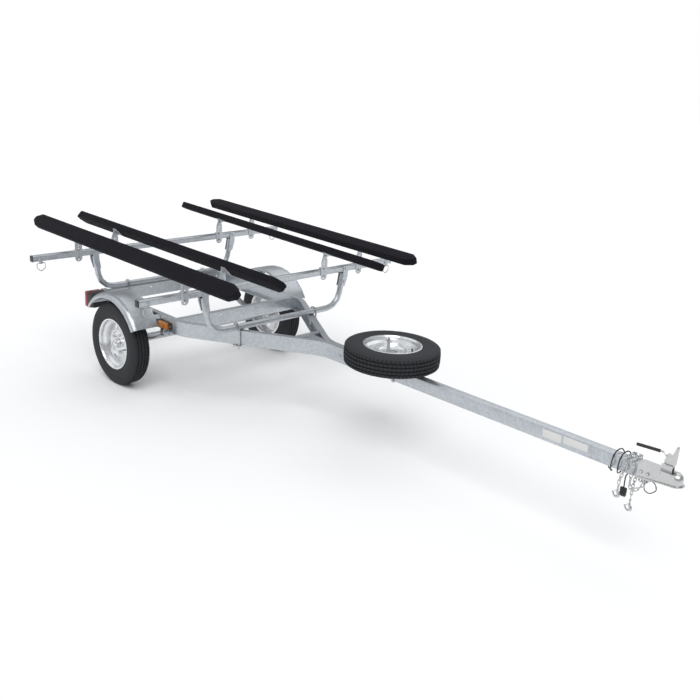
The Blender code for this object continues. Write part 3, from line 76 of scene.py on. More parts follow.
# Studio: a white sweep of paper under three wide soft lamps. The paper is a wide
# floor; the room is white to the eye and glows softly from above in the metal.
bpy.context.scene.view_settings.view_transform = "Standard"
FLOOR_SIZE = 60
FLOOR_DROP = 0.0006
HORIZON_GLOW = 0.26
ZENITH_GLOW = 0.80
paper = bpy.data.materials.new("paper")
paper.use_nodes = True
paper_shader = paper.node_tree.nodes["Principled BSDF"]
paper_shader.inputs["Base Color"].default_value = (0.98, 0.98, 0.98, 1)
paper_shader.inputs["Roughness"].default_value = 1.0
paper_shader.inputs["Specular IOR Level"].default_value = 0.0
floor_shape = bmesh.new()
bmesh.ops.create_grid(floor_shape, x_segments=1, y_segments=1, size=FLOOR_SIZE / 2)
floor_mesh = bpy.data.meshes.new("floor")
floor_shape.to_mesh(floor_mesh)
floor_shape.free()
floor_mesh.materials.append(paper)
floor = bpy.data.objects.new("floor", floor_mesh)
floor.location.z = -FLOOR_DROP
bpy.context.scene.collection.objects.link(floor)
floor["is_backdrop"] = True

room = bpy.data.worlds.new("room")
room.use_nodes = True
room_nodes, room_links = room.node_tree.nodes, room.node_tree.links
seen_room = room_nodes["Background"]
seen_room.inputs["Color"].default_value = (1, 1, 1, 1)
seen_room.inputs["Strength"].default_value = 1.0
room_light = room_nodes.new("ShaderNodeBackground")
room_light.inputs["Color"].default_value = (0.96, 0.98, 1.0, 1)
height = room_nodes.new("ShaderNodeSeparateXYZ")
glow = room_nodes.new("ShaderNodeMapRange")
glow.inputs["To Min"].default_value = HORIZON_GLOW
glow.inputs["To Max"].default_value = ZENITH_GLOW
room_links.new(room_nodes.new("ShaderNodeTexCoord").outputs["Generated"], height.inputs[0])
room_links.new(height.outputs["Z"], glow.inputs["Value"])
room_links.new(glow.outputs["Result"], room_light.inputs["Strength"])
ray = room_nodes.new("ShaderNodeLightPath")
clear = room_nodes.new("ShaderNodeMath")
clear.operation = "MAXIMUM"
room_links.new(ray.outputs["Is Camera Ray"], clear.inputs[0])
room_links.new(ray.outputs["Is Transmission Ray"], clear.inputs[1])
mixed_room = room_nodes.new("ShaderNodeMixShader")
room_links.new(clear.outputs[0], mixed_room.inputs["Fac"])
room_links.new(room_light.outputs[0], mixed_room.inputs[1])
room_links.new(seen_room.outputs[0], mixed_room.inputs[2])
room_links.new(mixed_room.outputs[0], room_nodes["World Output"].inputs["Surface"])
bpy.context.scene.world = room

for lamp_name, place, strength, spread in (
    ("key", (2.6, -2.4, 4.6), 1.15, 40),
    ("fill", (-4.0, -3.6, 3.4), 0.35, 60),
    ("back", (-1.0, 4.2, 4.4), 0.45, 60),
):
    lamp = bpy.data.lights.new(lamp_name, "SUN")
    lamp.energy = strength
    lamp.angle = radians(spread)
    stand = bpy.data.objects.new(lamp_name, lamp)
    stand.location = place
    stand.rotation_euler = (-Vector(place)).to_track_quat("-Z", "Y").to_euler()
    bpy.context.scene.collection.objects.link(stand)

# Zinc plate: small hardware such as chain, hooks, rings, nuts and the coupler
# is steel with a thin bright plated coat, a little yellow and uneven.


def blank(name):
    """A new material: its nodes, its links, its shader and the object's own coordinates."""
    made = bpy.data.materials.new(name)
    made.use_nodes = True
    tree = made.node_tree
    spot = tree.nodes.new("ShaderNodeTexCoord").outputs["Object"]
    return made, tree.nodes, tree.links, tree.nodes["Principled BSDF"], spot


def noise(tree, links, spot, scale, detail=2.0, roughness=0.5):
    """Noise of one size, as a value."""
    made = tree.new("ShaderNodeTexNoise")
    made.inputs["Scale"].default_value = scale
    made.inputs["Detail"].default_value = detail
    made.inputs["Roughness"].default_value = roughness
    links.new(spot, made.inputs["Vector"])
    return made.outputs["Fac"]


def cells(tree, links, spot, scale):
    """Crystals or tufts of one size."""
    made = tree.new("ShaderNodeTexVoronoi")
    made.inputs["Scale"].default_value = scale
    links.new(spot, made.inputs["Vector"])
    return made


def two_tones(tree, links, share, dark, light, shader):
    """Colours the shader between two tones."""
    made = tree.new("ShaderNodeMix")
    made.data_type = "RGBA"
    made.inputs["A"].default_value = (*dark, 1)
    made.inputs["B"].default_value = (*light, 1)
    links.new(share, made.inputs["Factor"])
    links.new(made.outputs["Result"], shader.inputs["Base Color"])


def polish(tree, links, share, low, high, shader):
    """Spreads the shader's roughness between two values."""
    made = tree.new("ShaderNodeMapRange")
    made.inputs["To Min"].default_value = low
    made.inputs["To Max"].default_value = high
    links.new(share, made.inputs["Value"])
    links.new(made.outputs["Result"], shader.inputs["Roughness"])


def relief(tree, links, height, strength, depth, shader):
    """Raises the shader's surface by a value."""
    made = tree.new("ShaderNodeBump")
    made.inputs["Strength"].default_value = strength
    made.inputs["Distance"].default_value = depth
    links.new(height, made.inputs["Height"])
    links.new(made.outputs["Normal"], shader.inputs["Normal"])


def blended(tree, links, first, second, factor):
    """Mixes two values."""
    made = tree.new("ShaderNodeMix")
    made.inputs["Factor"].default_value = factor
    links.new(first, made.inputs["A"])
    links.new(second, made.inputs["B"])
    return made.outputs["Result"]


def metal(name, light, dark, rough, rough_spread, cell, spangle, dent=0.0004, metallic=1.0):
    """A plated or painted metal: crystals of the coat, broad stains and fine dents."""
    made, tree, links, shader, spot = blank(name)
    shader.inputs["Metallic"].default_value = metallic
    grey = tree.new("ShaderNodeRGBToBW")
    links.new(cells(tree, links, spot, 1 / cell).outputs["Color"], grey.inputs["Color"])
    stain = noise(tree, links, spot, 9.0, 6.0, 0.6)
    share = blended(tree, links, stain, grey.outputs["Val"], spangle)
    two_tones(tree, links, share, dark, light, shader)
    polish(tree, links, share, rough - rough_spread, rough + rough_spread, shader)
    relief(tree, links, noise(tree, links, spot, 0.35 / cell, 3.0), 0.35, dent, shader)
    return made


zinc_plate = metal("zinc_plate", (0.72, 0.72, 0.71), (0.44, 0.44, 0.45), 0.28, 0.08, 0.004, 0.3)

# Safety chains: welded links of round wire, bolted under the front of the
# tongue. Each goes over the tongue once and hangs down with its hook.
AXLE_X = -1.2836227
CHAIN_WIRE = 0.0048
LINK_LENGTH = 0.0270
LINK_WIDTH = 0.0172
LINK_ROLL = 38
CURVE_STEPS = 6
HOOK_GAP = 0.0006
CHAIN_RUNS = {
    "right": [
        (3.285, -0.01, 0.4258), (3.285, -0.01, 0.4160), (3.284, -0.011, 0.4020),
        (3.270, -0.022, 0.3800), (3.250, -0.038, 0.3680), (3.237, -0.046, 0.3880),
        (3.234, -0.042, 0.4250), (3.234, -0.0395, 0.4600), (3.234, -0.035, 0.5060),
        (3.232, 0, 0.5140), (3.230, 0.035, 0.5060), (3.228, 0.0395, 0.4600),
        (3.223, 0.042, 0.4200), (3.212, 0.044, 0.3500), (3.210, 0.045, 0.3000),
        (3.210, 0.045, 0.2800),
    ],
    "left": [
        (3.285, 0.01, 0.4258), (3.285, 0.01, 0.4160), (3.283, 0.013, 0.4040),
        (3.264, 0.036, 0.3900), (3.240, 0.06, 0.3780), (3.216, 0.066, 0.3860),
        (3.206, 0.054, 0.4120), (3.204, 0.0395, 0.4600), (3.204, 0.035, 0.5060),
        (3.204, 0, 0.5140), (3.203, -0.035, 0.5060), (3.201, -0.0395, 0.4600),
        (3.193, -0.046, 0.4250), (3.187, -0.05, 0.3900), (3.187, -0.05, 0.3720),
    ],
}


def take(shape, mesh, finish=0, place=None):
    """Takes a mesh into the shape, in one of the piece's finishes."""
    known = len(shape.faces)
    if place is not None:
        mesh.transform(place)
    shape.from_mesh(mesh)
    shape.faces.ensure_lookup_table()
    for face in shape.faces[known:]:
        face.material_index = finish
    bpy.data.meshes.remove(mesh)


def take_bit(shape, bit, finish=0, place=None):
    """Takes a small shape into a larger one."""
    mesh = bpy.data.meshes.new("bit")
    bit.to_mesh(mesh)
    bit.free()
    take(shape, mesh, finish, place)


def wire(shape, path, radius, finish=0, closed=False, resolution=3, thickness=None):
    """Round wire, bar or tube bent along a path."""
    curve = bpy.data.curves.new("wire", "CURVE")
    curve.dimensions = "3D"
    curve.bevel_depth = radius
    curve.bevel_resolution = resolution
    curve.use_fill_caps = True
    spline = curve.splines.new("POLY")
    spline.points.add(len(path) - 1)
    for number, spot in enumerate(path):
        spline.points[number].co = (*spot, 1)
        if thickness:
            spline.points[number].radius = thickness[number]
    spline.use_cyclic_u = closed
    guide = bpy.data.objects.new("wire", curve)
    take(shape, bpy.data.meshes.new_from_object(guide), finish)
    bpy.data.objects.remove(guide)
    bpy.data.curves.remove(curve)


def arc(middle, radius, sides=12, start=0.0, end=2 * pi):
    """Points on a circle or on part of one."""
    full = end - start > 2 * pi - 0.001
    count = sides if full else sides + 1
    angles = [start + (end - start) * number / sides for number in range(count)]
    return [(middle[0] + radius * cos(a), middle[1] + radius * sin(a)) for a in angles]


def softened(points, steps):
    """A curve through given points."""
    spots = [Vector(point) for point in points]
    spots = [2 * spots[0] - spots[1], *spots, 2 * spots[-1] - spots[-2]]
    path = []
    for a, b, c, d in zip(spots, spots[1:], spots[2:], spots[3:]):
        for number in range(steps):
            t = number / steps
            bend = (2 * a - 5 * b + 4 * c - d) * t * t + (3 * b - a - 3 * c + d) * t**3
            path.append(0.5 * (2 * b + (c - a) * t + bend))
    path.append(spots[-2])
    return path


def rounded(points, radius, steps=6):
    """A run of straight lines with an arc at each corner."""
    spots = [Vector(point) for point in points]
    path = [spots[0]]
    for before, corner, after in zip(spots, spots[1:], spots[2:]):
        back, ahead = (before - corner).normalized(), (after - corner).normalized()
        bend = pi - back.angle(ahead)
        reach = radius * tan(bend / 2)
        middle = corner + (back + ahead).normalized() * radius / cos(bend / 2)
        first, last = corner + back * reach - middle, corner + ahead * reach - middle
        for number in range(steps + 1):
            path.append(middle + first.slerp(last, number / steps) * radius)
    path.append(spots[-1])
    return path


def piece(name, shape, body, finishes, stands_for=(), smooth=35):
    """Makes a shape one piece of the trailer, which rides on a body of the frame."""
    bmesh.ops.translate(shape, vec=(AXLE_X, 0, 0), verts=shape.verts)
    bmesh.ops.recalc_face_normals(shape, faces=shape.faces)
    mesh = bpy.data.meshes.new(name)
    shape.to_mesh(mesh)
    shape.free()
    for made in finishes:
        mesh.materials.append(made)
    mesh.shade_smooth()
    mesh.set_sharp_from_angle(angle=radians(smooth))
    thing = bpy.data.objects.new(name, mesh)
    bpy.context.scene.collection.objects.link(thing)
    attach(thing, body)
    if stands_for:
        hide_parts(*stands_for)
    return thing


def link_mesh():
    """One welded link, long along X, as a mesh to be copied."""
    turn = (LINK_WIDTH - CHAIN_WIRE) / 2
    straight = (LINK_LENGTH - CHAIN_WIRE) / 2 - turn
    loop = [(straight + x, y, 0) for x, y in arc((0, 0), turn, 5, -pi / 2, pi / 2)]
    loop += [(x - straight, y, 0) for x, y in arc((0, 0), turn, 5, pi / 2, 1.5 * pi)]
    shape = bmesh.new()
    wire(shape, loop, CHAIN_WIRE / 2, closed=True, resolution=1)
    mesh = bpy.data.meshes.new("link")
    shape.to_mesh(mesh)
    shape.free()
    return mesh


def length_of(path):
    """Length of a path."""
    spots = [Vector(spot) for spot in path]
    return sum((b - a).length for a, b in zip(spots, spots[1:]))


def walk(path, step, margin):
    """Points and directions at equal steps along a path, clear of its ends."""
    spots = [Vector(spot) for spot in path]
    total = length_of(path)
    count = round((total - 2 * margin) / step)
    marks = [margin + (total - 2 * margin) * number / count for number in range(count + 1)]
    found, gone = [], 0.0
    for a, b in zip(spots, spots[1:]):
        length = (b - a).length
        while marks and marks[0] <= gone + length + 1e-9:
            found.append((a.lerp(b, (marks.pop(0) - gone) / length), (b - a).normalized()))
        gone += length
    return found


def row_path(path):
    """A path in the row frame, as plain numbers."""
    return [(x + AXLE_X, y, z) for x, y, z in path]


one_link = link_mesh()
for side_name, run in CHAIN_RUNS.items():
    chain_path = softened(run, CURVE_STEPS)
    chain = bmesh.new()
    pitch = LINK_LENGTH - 2 * CHAIN_WIRE
    for number, (spot, along) in enumerate(walk(chain_path, pitch, LINK_LENGTH / 2)):
        lie = along.to_track_quat("X", "Z").to_matrix().to_4x4()
        roll = Matrix.Rotation(radians(LINK_ROLL + 90 * (number % 2)), 4, "X")
        take(chain, one_link.copy(), 0, Matrix.Translation(spot) @ lie @ roll)
    name = f"safety_chain_{side_name}"
    piece(
        f"chain_links_{side_name}", chain, "frame", [zinc_plate], [name], 70
    )
bpy.data.meshes.remove(one_link)

# Slip hooks: drop-forged steel, zinc plated, each with an eye round the last
# link, a thick back, a thin point and a sprung keeper across the mouth.
HOOK_WIRE = 0.0045
HOOK_CORNER = 0.0085
HOOK_EYE = 0.0062
HOOK_EYE_WIRE = 0.0028
KEEPER_WIRE = 0.0011
KEEPER_HALF_WIDTH = 0.0042
HOOK_BENDS = [
    (0, 0, -0.010),
    (0, 0, -0.030),
    (0.012, 0, -0.052),
    (-0.012, 0, -0.060),
    (-0.024, 0, -0.038),
]
for side_name, run in CHAIN_RUNS.items():
    hang = Vector(run[-1]) - Vector((0, 0, HOOK_GAP))
    hook = bmesh.new()
    eye_loop = [(0, y, z - 0.007) for y, z in arc((0, 0), HOOK_EYE, 16)]
    wire(hook, [Vector(spot) + hang for spot in eye_loop], HOOK_EYE_WIRE, 0, True)
    bow = rounded(HOOK_BENDS, HOOK_CORNER, 7)
    count = len(bow)
    swell = [0.8 + 0.75 * sin(pi * min(1, n / (count - 1) * 1.15)) for n in range(count)]
    swell = [max(0.55, share) for share in swell]
    wire(hook, [spot + hang for spot in bow], HOOK_WIRE, thickness=swell)
    keeper = [(0.001, 0, -0.020), (-0.010, 0, -0.030), (-0.021, 0, -0.040)]
    for y in (-KEEPER_HALF_WIDTH, KEEPER_HALF_WIDTH):
        wire(hook, [Vector((x, y, z)) + hang for x, _, z in keeper], KEEPER_WIRE)
    hook_piece = piece(
        f"slip_hook_{side_name}",
        hook,
        "frame",
        [zinc_plate],
        [f"safety_hook_{side_name}"],
        50,
    )

# Wiring lead: four cores in one black jacket. It comes out under the tongue,
# goes twice round it and hangs down to a moulded flat plug.
TOUCH = 0.0003
RAIL_TOP = 0.500
RAIL_WALL = 0.003
TONGUE_WIDTH = 0.0508
TONGUE_HEIGHT = 0.070
TONGUE_TOP = RAIL_TOP - RAIL_WALL - TOUCH
TONGUE_MIDDLE = TONGUE_TOP - TONGUE_HEIGHT / 2
TONGUE_BOTTOM = TONGUE_TOP - TONGUE_HEIGHT
LEAD_RADIUS = 0.003
LEAD_EXIT_X = 3.100
LEAD_BEND = 0.012
LEAD_TURNS = 2
LEAD_PITCH = 0.034
TURN_POINTS = 24
TURN_HALF_WIDTH = 0.042
TURN_HALF_HEIGHT = 0.055
TURN_SQUARENESS = 2.4
PLUG_SIZE = (0.030, 0.012, 0.040)
PLUG_RIB = (0.0308, 0.0128, 0.0016)
PIN_PITCH = 0.006
PIN_RADIUS = 0.0016
PIN_SHROUD = 0.0027


def signed_power(value, power):
    """The power of a number's size, with its sign kept."""
    return abs(value) ** power * (1 if value >= 0 else -1)


def lead_route():
    """The lead's middle line, from its hole in the tongue to the plug."""
    low = TONGUE_MIDDLE - TURN_HALF_HEIGHT
    bend = LEAD_BEND
    start = LEAD_EXIT_X
    path = [(start, 0, TONGUE_BOTTOM + 0.0013), (start, 0, low + bend)]
    path += [(start + bend * 0.3, 0, low + bend * 0.3), (start + bend, 0, low)]
    path.append((start + bend * 1.7, -bend * 0.3, low))
    first_x = start + 2 * bend
    skip = asin((bend / TURN_HALF_WIDTH) ** (TURN_SQUARENESS / 2))
    power = 2 / TURN_SQUARENESS
    count = LEAD_TURNS * TURN_POINTS
    for number in range(count):
        turn = skip + (2 * pi * LEAD_TURNS - skip) * number / (count - 1)
        y = -TURN_HALF_WIDTH * signed_power(sin(turn), power)
        z = TONGUE_MIDDLE - TURN_HALF_HEIGHT * signed_power(cos(turn), power)
        path.append((first_x + LEAD_PITCH * turn / (2 * pi), y, z))
    x = path[-1][0] + 0.002
    path += [(x, -bend * 0.7, low - bend * 0.3), (x + 0.001, -bend, low - bend)]
    path.append((x + 0.002, -bend, low - 0.055))
    return path


def moulded(name, colour, rough, grain, depth, spread=0.5):
    """Moulded plastic or rubber with a fine grain and a dusting of lighter tone."""
    made, tree, links, shader, spot = blank(name)
    broad = noise(tree, links, spot, 14.0, 5.0)
    dark = [part * (1 - spread / 2) for part in colour]
    light = [part * (1 + spread / 2) for part in colour]
    two_tones(tree, links, broad, dark, light, shader)
    polish(tree, links, broad, max(0.05, rough - 0.10), min(1.0, rough + 0.10), shader)
    relief(tree, links, noise(tree, links, spot, grain, 4.0), 0.5, depth, shader)
    return made


jacket = moulded("jacket", (0.016, 0.016, 0.018), 0.40, 900, 0.0001)


def block(shape, size, centre, finish=0, edge=0.0, segments=2):
    """A block of metal or plastic with rounded edges."""
    bit = bmesh.new()
    bmesh.ops.create_cube(bit, size=1)
    bmesh.ops.scale(bit, vec=size, verts=bit.verts)
    if edge:
        bmesh.ops.bevel(
            bit,
            geom=bit.edges[:],
            offset=edge,
            segments=segments,
            profile=0.5,
            affect="EDGES",
            material=-1,
        )
    take_bit(shape, bit, finish, Matrix.Translation(centre))


def rod(shape, start, end, radius, finish=0, sides=24, tip=None, edge=0.0):
    """A bar, pin or nut between two points, with its end rims rounded."""
    start, end = Vector(start), Vector(end)
    bit = bmesh.new()
    bmesh.ops.create_cone(
        bit,
        cap_ends=True,
        segments=sides,
        radius1=radius,
        radius2=radius if tip is None else tip,
        depth=(end - start).length,
    )
    if edge:
        rims = [e for e in bit.edges if abs(e.verts[0].co.z - e.verts[1].co.z) < 1e-6]
        bmesh.ops.bevel(
            bit,
            geom=rims,
            offset=edge,
            segments=2,
            profile=0.5,
            affect="EDGES",
            material=-1,
        )
    lie = (end - start).to_track_quat("Z", "Y").to_matrix().to_4x4()
    take_bit(shape, bit, finish, Matrix.Translation((start + end) / 2) @ lie)


lead_path = lead_route()
x, y, z = lead_path[-1]
plug_top = z - TOUCH
plug = bmesh.new()
block(plug, PLUG_SIZE, (x, y, plug_top - PLUG_SIZE[2] / 2), 0, 0.0022, 3)
for number in range(4):
    spot = x + (number - 1.5) * PIN_PITCH
    foot = plug_top - PLUG_SIZE[2]
    rod(plug, (spot, y, foot + 0.002), (spot, y, foot - 0.0035), PIN_SHROUD, 0, 16, edge=0.0004)
    bare = number == 0
    rod(plug, (spot, y, foot), (spot, y, foot - 0.0058), PIN_RADIUS, 1 if bare else 0, 12)
for number in range(3):
    rib = (x, y, plug_top - 0.008 - 0.004 * number)
    block(plug, PLUG_RIB, rib, 0, 0.0006)
plug_piece = piece(
    "flat_plug", plug, "frame", [jacket, zinc_plate], ["wiring_plug"], 50
)

lead_curve = bpy.data.curves.new("lead", "CURVE")
lead_curve.dimensions = "3D"
lead_curve.bevel_depth = LEAD_RADIUS
lead_curve.bevel_resolution = 4
lead_curve.use_fill_caps = True
lead_line = lead_curve.splines.new("POLY")
lead_route_row = row_path(lead_path)
lead_line.points.add(len(lead_route_row) - 1)
for number, spot in enumerate(lead_route_row):
    lead_line.points[number].co = (*spot, 1)
lead_curve.materials.append(jacket)
lead = bpy.data.objects.new("lead", lead_curve)
bpy.context.scene.collection.objects.link(lead)
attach(lead, "frame")
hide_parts("wiring_lead")

# Tyres: black bias-ply rubber on a 12 inch rim. Four grooves run round the
# tread, sipes cut its ribs, and the sidewall carries moulded rings.
TYRE_RADIUS = 0.2655
BEAD_RADIUS = 0.1524
WHEEL_Y = 0.624
SPARE_X = 1.746
SPARE_HEIGHT = 0.567
TREAD_STEPS = 216
TREAD_INNER = 0.2600
SHOULDER = 0.034
SIPE_DEPTH = 0.0042
SIPE_TAPER = 0.25
WHEELS = {
    "right": ((0, -WHEEL_Y, TYRE_RADIUS), (pi / 2, 0, 0)),
    "left": ((0, WHEEL_Y, TYRE_RADIUS), (-pi / 2, 0, 0)),
    "spare": ((SPARE_X, 0, SPARE_HEIGHT), (0, 0, 0)),
}
rubber = moulded("rubber", (0.017, 0.018, 0.022), 0.72, 420, 0.0002, spread=0.7)


def spun(shape, profile, steps, finish=0, place=None, closed=True):
    """Turns a half section of (radius, height) round the Z axis."""
    bit = bmesh.new()
    verts = [bit.verts.new((radius, 0, height)) for radius, height in profile]
    edges = [bit.edges.new(pair) for pair in zip(verts, verts[1:])]
    if closed:
        edges.append(bit.edges.new((verts[-1], verts[0])))
    bmesh.ops.spin(
        bit,
        geom=verts + edges,
        axis=(0, 0, 1),
        cent=(0, 0, 0),
        steps=steps,
        angle=2 * pi,
        use_merge=True,
    )
    bmesh.ops.remove_doubles(bit, verts=bit.verts, dist=1e-6)
    take_bit(shape, bit, finish, place)


def seated(place, turn):
    """A wheel's place and turn as one step."""
    return Matrix.Translation(place) @ Euler(turn).to_matrix().to_4x4()


def tyre_profile():
    """Half section of the tyre, from the inner bead round the tread to the outer."""
    half = [
        (BEAD_RADIUS + TOUCH, 0.0350),
        (BEAD_RADIUS + TOUCH, 0.0480),
        (BEAD_RADIUS + 0.0060, 0.0500),
        (BEAD_RADIUS + 0.0100, 0.0555),
        (BEAD_RADIUS + 0.0140, 0.0562),
        (BEAD_RADIUS + 0.0155, 0.0548),
        (0.1850, 0.0585),
        (0.2000, 0.0598),
        (0.2090, 0.0600),
        (0.2100, 0.0592),
        (0.2140, 0.0592),
        (0.2150, 0.0600),
        (0.2280, 0.0588),
        (0.2400, 0.0562),
        (0.2410, 0.0548),
        (0.2440, 0.0546),
        (0.2450, 0.0552),
        (0.2530, 0.0520),
        (0.2590, 0.0482),
        (0.2625, 0.0440),
        (0.2635, 0.0345),
        (0.2575, 0.0335),
        (0.2575, 0.0275),
        (0.2645, 0.0265),
        (0.2652, 0.0150),
        (0.2582, 0.0140),
        (0.2582, 0.0080),
        (0.2655, 0.0070),
    ]
    mirror = [(radius, -height) for radius, height in reversed(half)]
    lining = [(0.2455, -0.030), (0.2475, 0.0), (0.2455, 0.030)]
    return half + mirror + [(0.2000, -0.0500), *lining, (0.2000, 0.0500)]


def cut_sipes(shape):
    """Cuts narrow slots across the tread's ribs."""
    slots = []
    for face in shape.faces:
        middle = face.calc_center_median()
        radius = (middle.x**2 + middle.y**2) ** 0.5
        if radius < TREAD_INNER or abs(face.normal.z) > 0.75:
            continue
        column = int((atan2(middle.y, middle.x) % (2 * pi)) / (2 * pi) * TREAD_STEPS)
        shoulder = abs(middle.z) > SHOULDER
        if column % 3 == (0 if shoulder else 1):
            slots.append(face)
    made = bmesh.ops.extrude_discrete_faces(shape, faces=slots)
    for face in made["faces"]:
        middle = face.calc_center_median()
        inward = Vector((middle.x, middle.y, 0)).normalized()
        for vert in face.verts:
            vert.co -= inward * SIPE_DEPTH
            vert.co += (middle - vert.co) * SIPE_TAPER


for wheel_name, (place, turn) in WHEELS.items():
    tread = bmesh.new()
    spun(tread, tyre_profile(), TREAD_STEPS)
    bmesh.ops.recalc_face_normals(tread, faces=tread.faces)
    tread.normal_update()
    cut_sipes(tread)
    tyre = bmesh.new()
    wheel_place = seated(place, turn)
    take_bit(tyre, tread, 0, wheel_place)
    body = "frame" if wheel_name == "spare" else f"wheel_{wheel_name}"
    stands_for = "spare_tyre" if wheel_name == "spare" else f"tyre_{wheel_name}"
    piece(f"tread_{wheel_name}", tyre, body, [rubber], [stands_for], 28)

# Rims: pressed steel, silver paint under clear coat. The disc is dished, with
# five bolt holes on a raised ring, five windows and a valve in the outer lip.
RIM_STEPS = 120
RIM_HALF = 0.055
RIM_WELL = 0.016
RIM_LIP = 0.0127
DISC_STEEL = 0.0038
LUG_HOLE = 0.0078
VALVE_RADIUS = 0.0042
WHEEL_FACE = 0.012
HUB_PILOT = 0.032
LUG_CIRCLE = 0.057
LUG_COUNT = 5
VENT_CIRCLE = 0.101
VENT_SIZE = 0.0195
silver = metal(
    "silver_paint", (0.86, 0.87, 0.88), (0.70, 0.71, 0.73), 0.24, 0.05, 0.006, 0.25, 0.0001, 0.9
)


def cut(shape, cutters):
    """Cuts closed shapes out of a shape."""
    mesh = bpy.data.meshes.new("whole")
    shape.to_mesh(mesh)
    shape.clear()
    whole = bpy.data.objects.new("whole", mesh)
    bpy.context.scene.collection.objects.link(whole)
    tools = []
    for cutter in cutters:
        bmesh.ops.recalc_face_normals(cutter, faces=cutter.faces)
        tool_mesh = bpy.data.meshes.new("tool")
        cutter.to_mesh(tool_mesh)
        cutter.free()
        tool = bpy.data.objects.new("tool", tool_mesh)
        bpy.context.scene.collection.objects.link(tool)
        step = whole.modifiers.new("cut", "BOOLEAN")
        step.operation = "DIFFERENCE"
        step.solver = "EXACT"
        step.object = tool
        tools.append(tool)
    bpy.context.view_layer.update()
    graph = bpy.context.evaluated_depsgraph_get()
    result = bpy.data.meshes.new_from_object(whole.evaluated_get(graph))
    shape.from_mesh(result)
    bpy.data.meshes.remove(result)
    for tool in tools:
        bpy.data.meshes.remove(tool.data)
    bpy.data.meshes.remove(mesh)


def take_dressed(shape, bit, place):
    """Takes a small shape into a larger one, in the finishes that it has."""
    mesh = bpy.data.meshes.new("bit")
    bit.to_mesh(mesh)
    bit.free()
    mesh.transform(place)
    shape.from_mesh(mesh)
    bpy.data.meshes.remove(mesh)


def plate(shape, outline, thickness, place, finish=0, holes=(), edge=0.0):
    """A flat plate cut to an outline, with round or shaped holes."""
    curve = bpy.data.curves.new("plate", "CURVE")
    curve.dimensions = "2D"
    curve.fill_mode = "BOTH"
    curve.extrude = thickness / 2 - edge
    curve.bevel_depth = edge
    curve.bevel_resolution = 1
    curve.offset = -edge
    for ring in (outline, *holes):
        spline = curve.splines.new("POLY")
        spline.points.add(len(ring) - 1)
        for point, spot in zip(spline.points, ring):
            point.co = (*spot, 0, 1)
        spline.use_cyclic_u = True
    sheet = bpy.data.objects.new("plate", curve)
    mesh = bpy.data.meshes.new_from_object(sheet)
    bpy.data.objects.remove(sheet)
    bpy.data.curves.remove(curve)
    bit = bmesh.new()
    bit.from_mesh(mesh)
    bpy.data.meshes.remove(mesh)
    bmesh.ops.remove_doubles(bit, verts=bit.verts, dist=1e-6)
    take_bit(shape, bit, finish, place)


def rim_shape():
    """The rim and its disc, with the outer side up."""
    half = RIM_HALF
    well = BEAD_RADIUS - RIM_WELL
    lip = BEAD_RADIUS + RIM_LIP
    shape = bmesh.new()
    barrel = [
        (lip - 0.002, half + 0.0006),
        (lip, half - 0.0010),
        (lip - 0.001, half - 0.0030),
        (BEAD_RADIUS + 0.003, half - 0.0055),
        (BEAD_RADIUS, half - 0.0080),
        (BEAD_RADIUS, half - 0.0240),
        (well + 0.002, half - 0.0350),
        (well, half - 0.0380),
        (well, 0.0340 - half),
        (BEAD_RADIUS, 0.0240 - half),
        (BEAD_RADIUS, 0.0070 - half),
        (lip, 0.0010 - half),
        (lip - 0.002, -half - 0.0006),
        (BEAD_RADIUS - 0.003, 0.0040 - half),
        (well - 0.003, 0.0320 - half),
        (well - 0.003, half - 0.0350),
        (BEAD_RADIUS - 0.003, half - 0.0225),
        (BEAD_RADIUS - 0.003, half - 0.0060),
        (BEAD_RADIUS + 0.002, half + 0.0010),
        (lip - 0.004, half + 0.0016),
    ]
    spun(shape, barrel, RIM_STEPS)
    face = WHEEL_FACE
    top = [
        (HUB_PILOT, face + 0.001),
        (HUB_PILOT + 0.002, face + 0.0005),
        (LUG_CIRCLE - 0.011, face),
        (LUG_CIRCLE + 0.012, face),
        (LUG_CIRCLE + 0.016, face + 0.0030),
        (LUG_CIRCLE + 0.020, face + 0.0072),
        (LUG_CIRCLE + 0.025, face + 0.0082),
        (LUG_CIRCLE + 0.031, face + 0.0060),
        (0.1060, face - 0.0010),
        (0.1200, face - 0.0060),
        (0.1280, face - 0.0092),
        (0.1335, face - 0.0100),
    ]
    back = [(radius, height - DISC_STEEL) for radius, height in reversed(top)]
    disc = bmesh.new()
    spun(disc, top + back, RIM_STEPS)
    bmesh.ops.recalc_face_normals(disc, faces=disc.faces)
    holes = bmesh.new()
    windows = bmesh.new()
    for number in range(LUG_COUNT):
        angle = 2 * pi * number / LUG_COUNT
        x, y = LUG_CIRCLE * cos(angle), LUG_CIRCLE * sin(angle)
        rod(holes, (x, y, face - 0.02), (x, y, face + 0.02), LUG_HOLE, sides=20)
        angle += pi / LUG_COUNT
        corners = []
        for corner in (180, 300, 60):
            bend = radians(corner)
            middle = (0.60 * VENT_SIZE * cos(bend), 0.60 * VENT_SIZE * sin(bend))
            corners += arc(middle, 0.40 * VENT_SIZE, 7, bend - pi / 3, bend + pi / 3)
        spin_place = Matrix.Rotation(angle, 4, "Z") @ Matrix.Translation((VENT_CIRCLE, 0, face))
        plate(windows, corners, 0.06, spin_place)
    cut(disc, [holes, windows])
    take_bit(shape, disc)
    valve = Vector((0.1440, 0.0, half - 0.020))
    neck = valve + Vector((-0.004, 0, 0.026))
    rod(shape, valve, neck, VALVE_RADIUS, 1, 16, 0.0036, 0.0006)
    rod(shape, neck, valve + Vector((-0.0052, 0, 0.033)), 0.0040, 1, 16)
    return shape


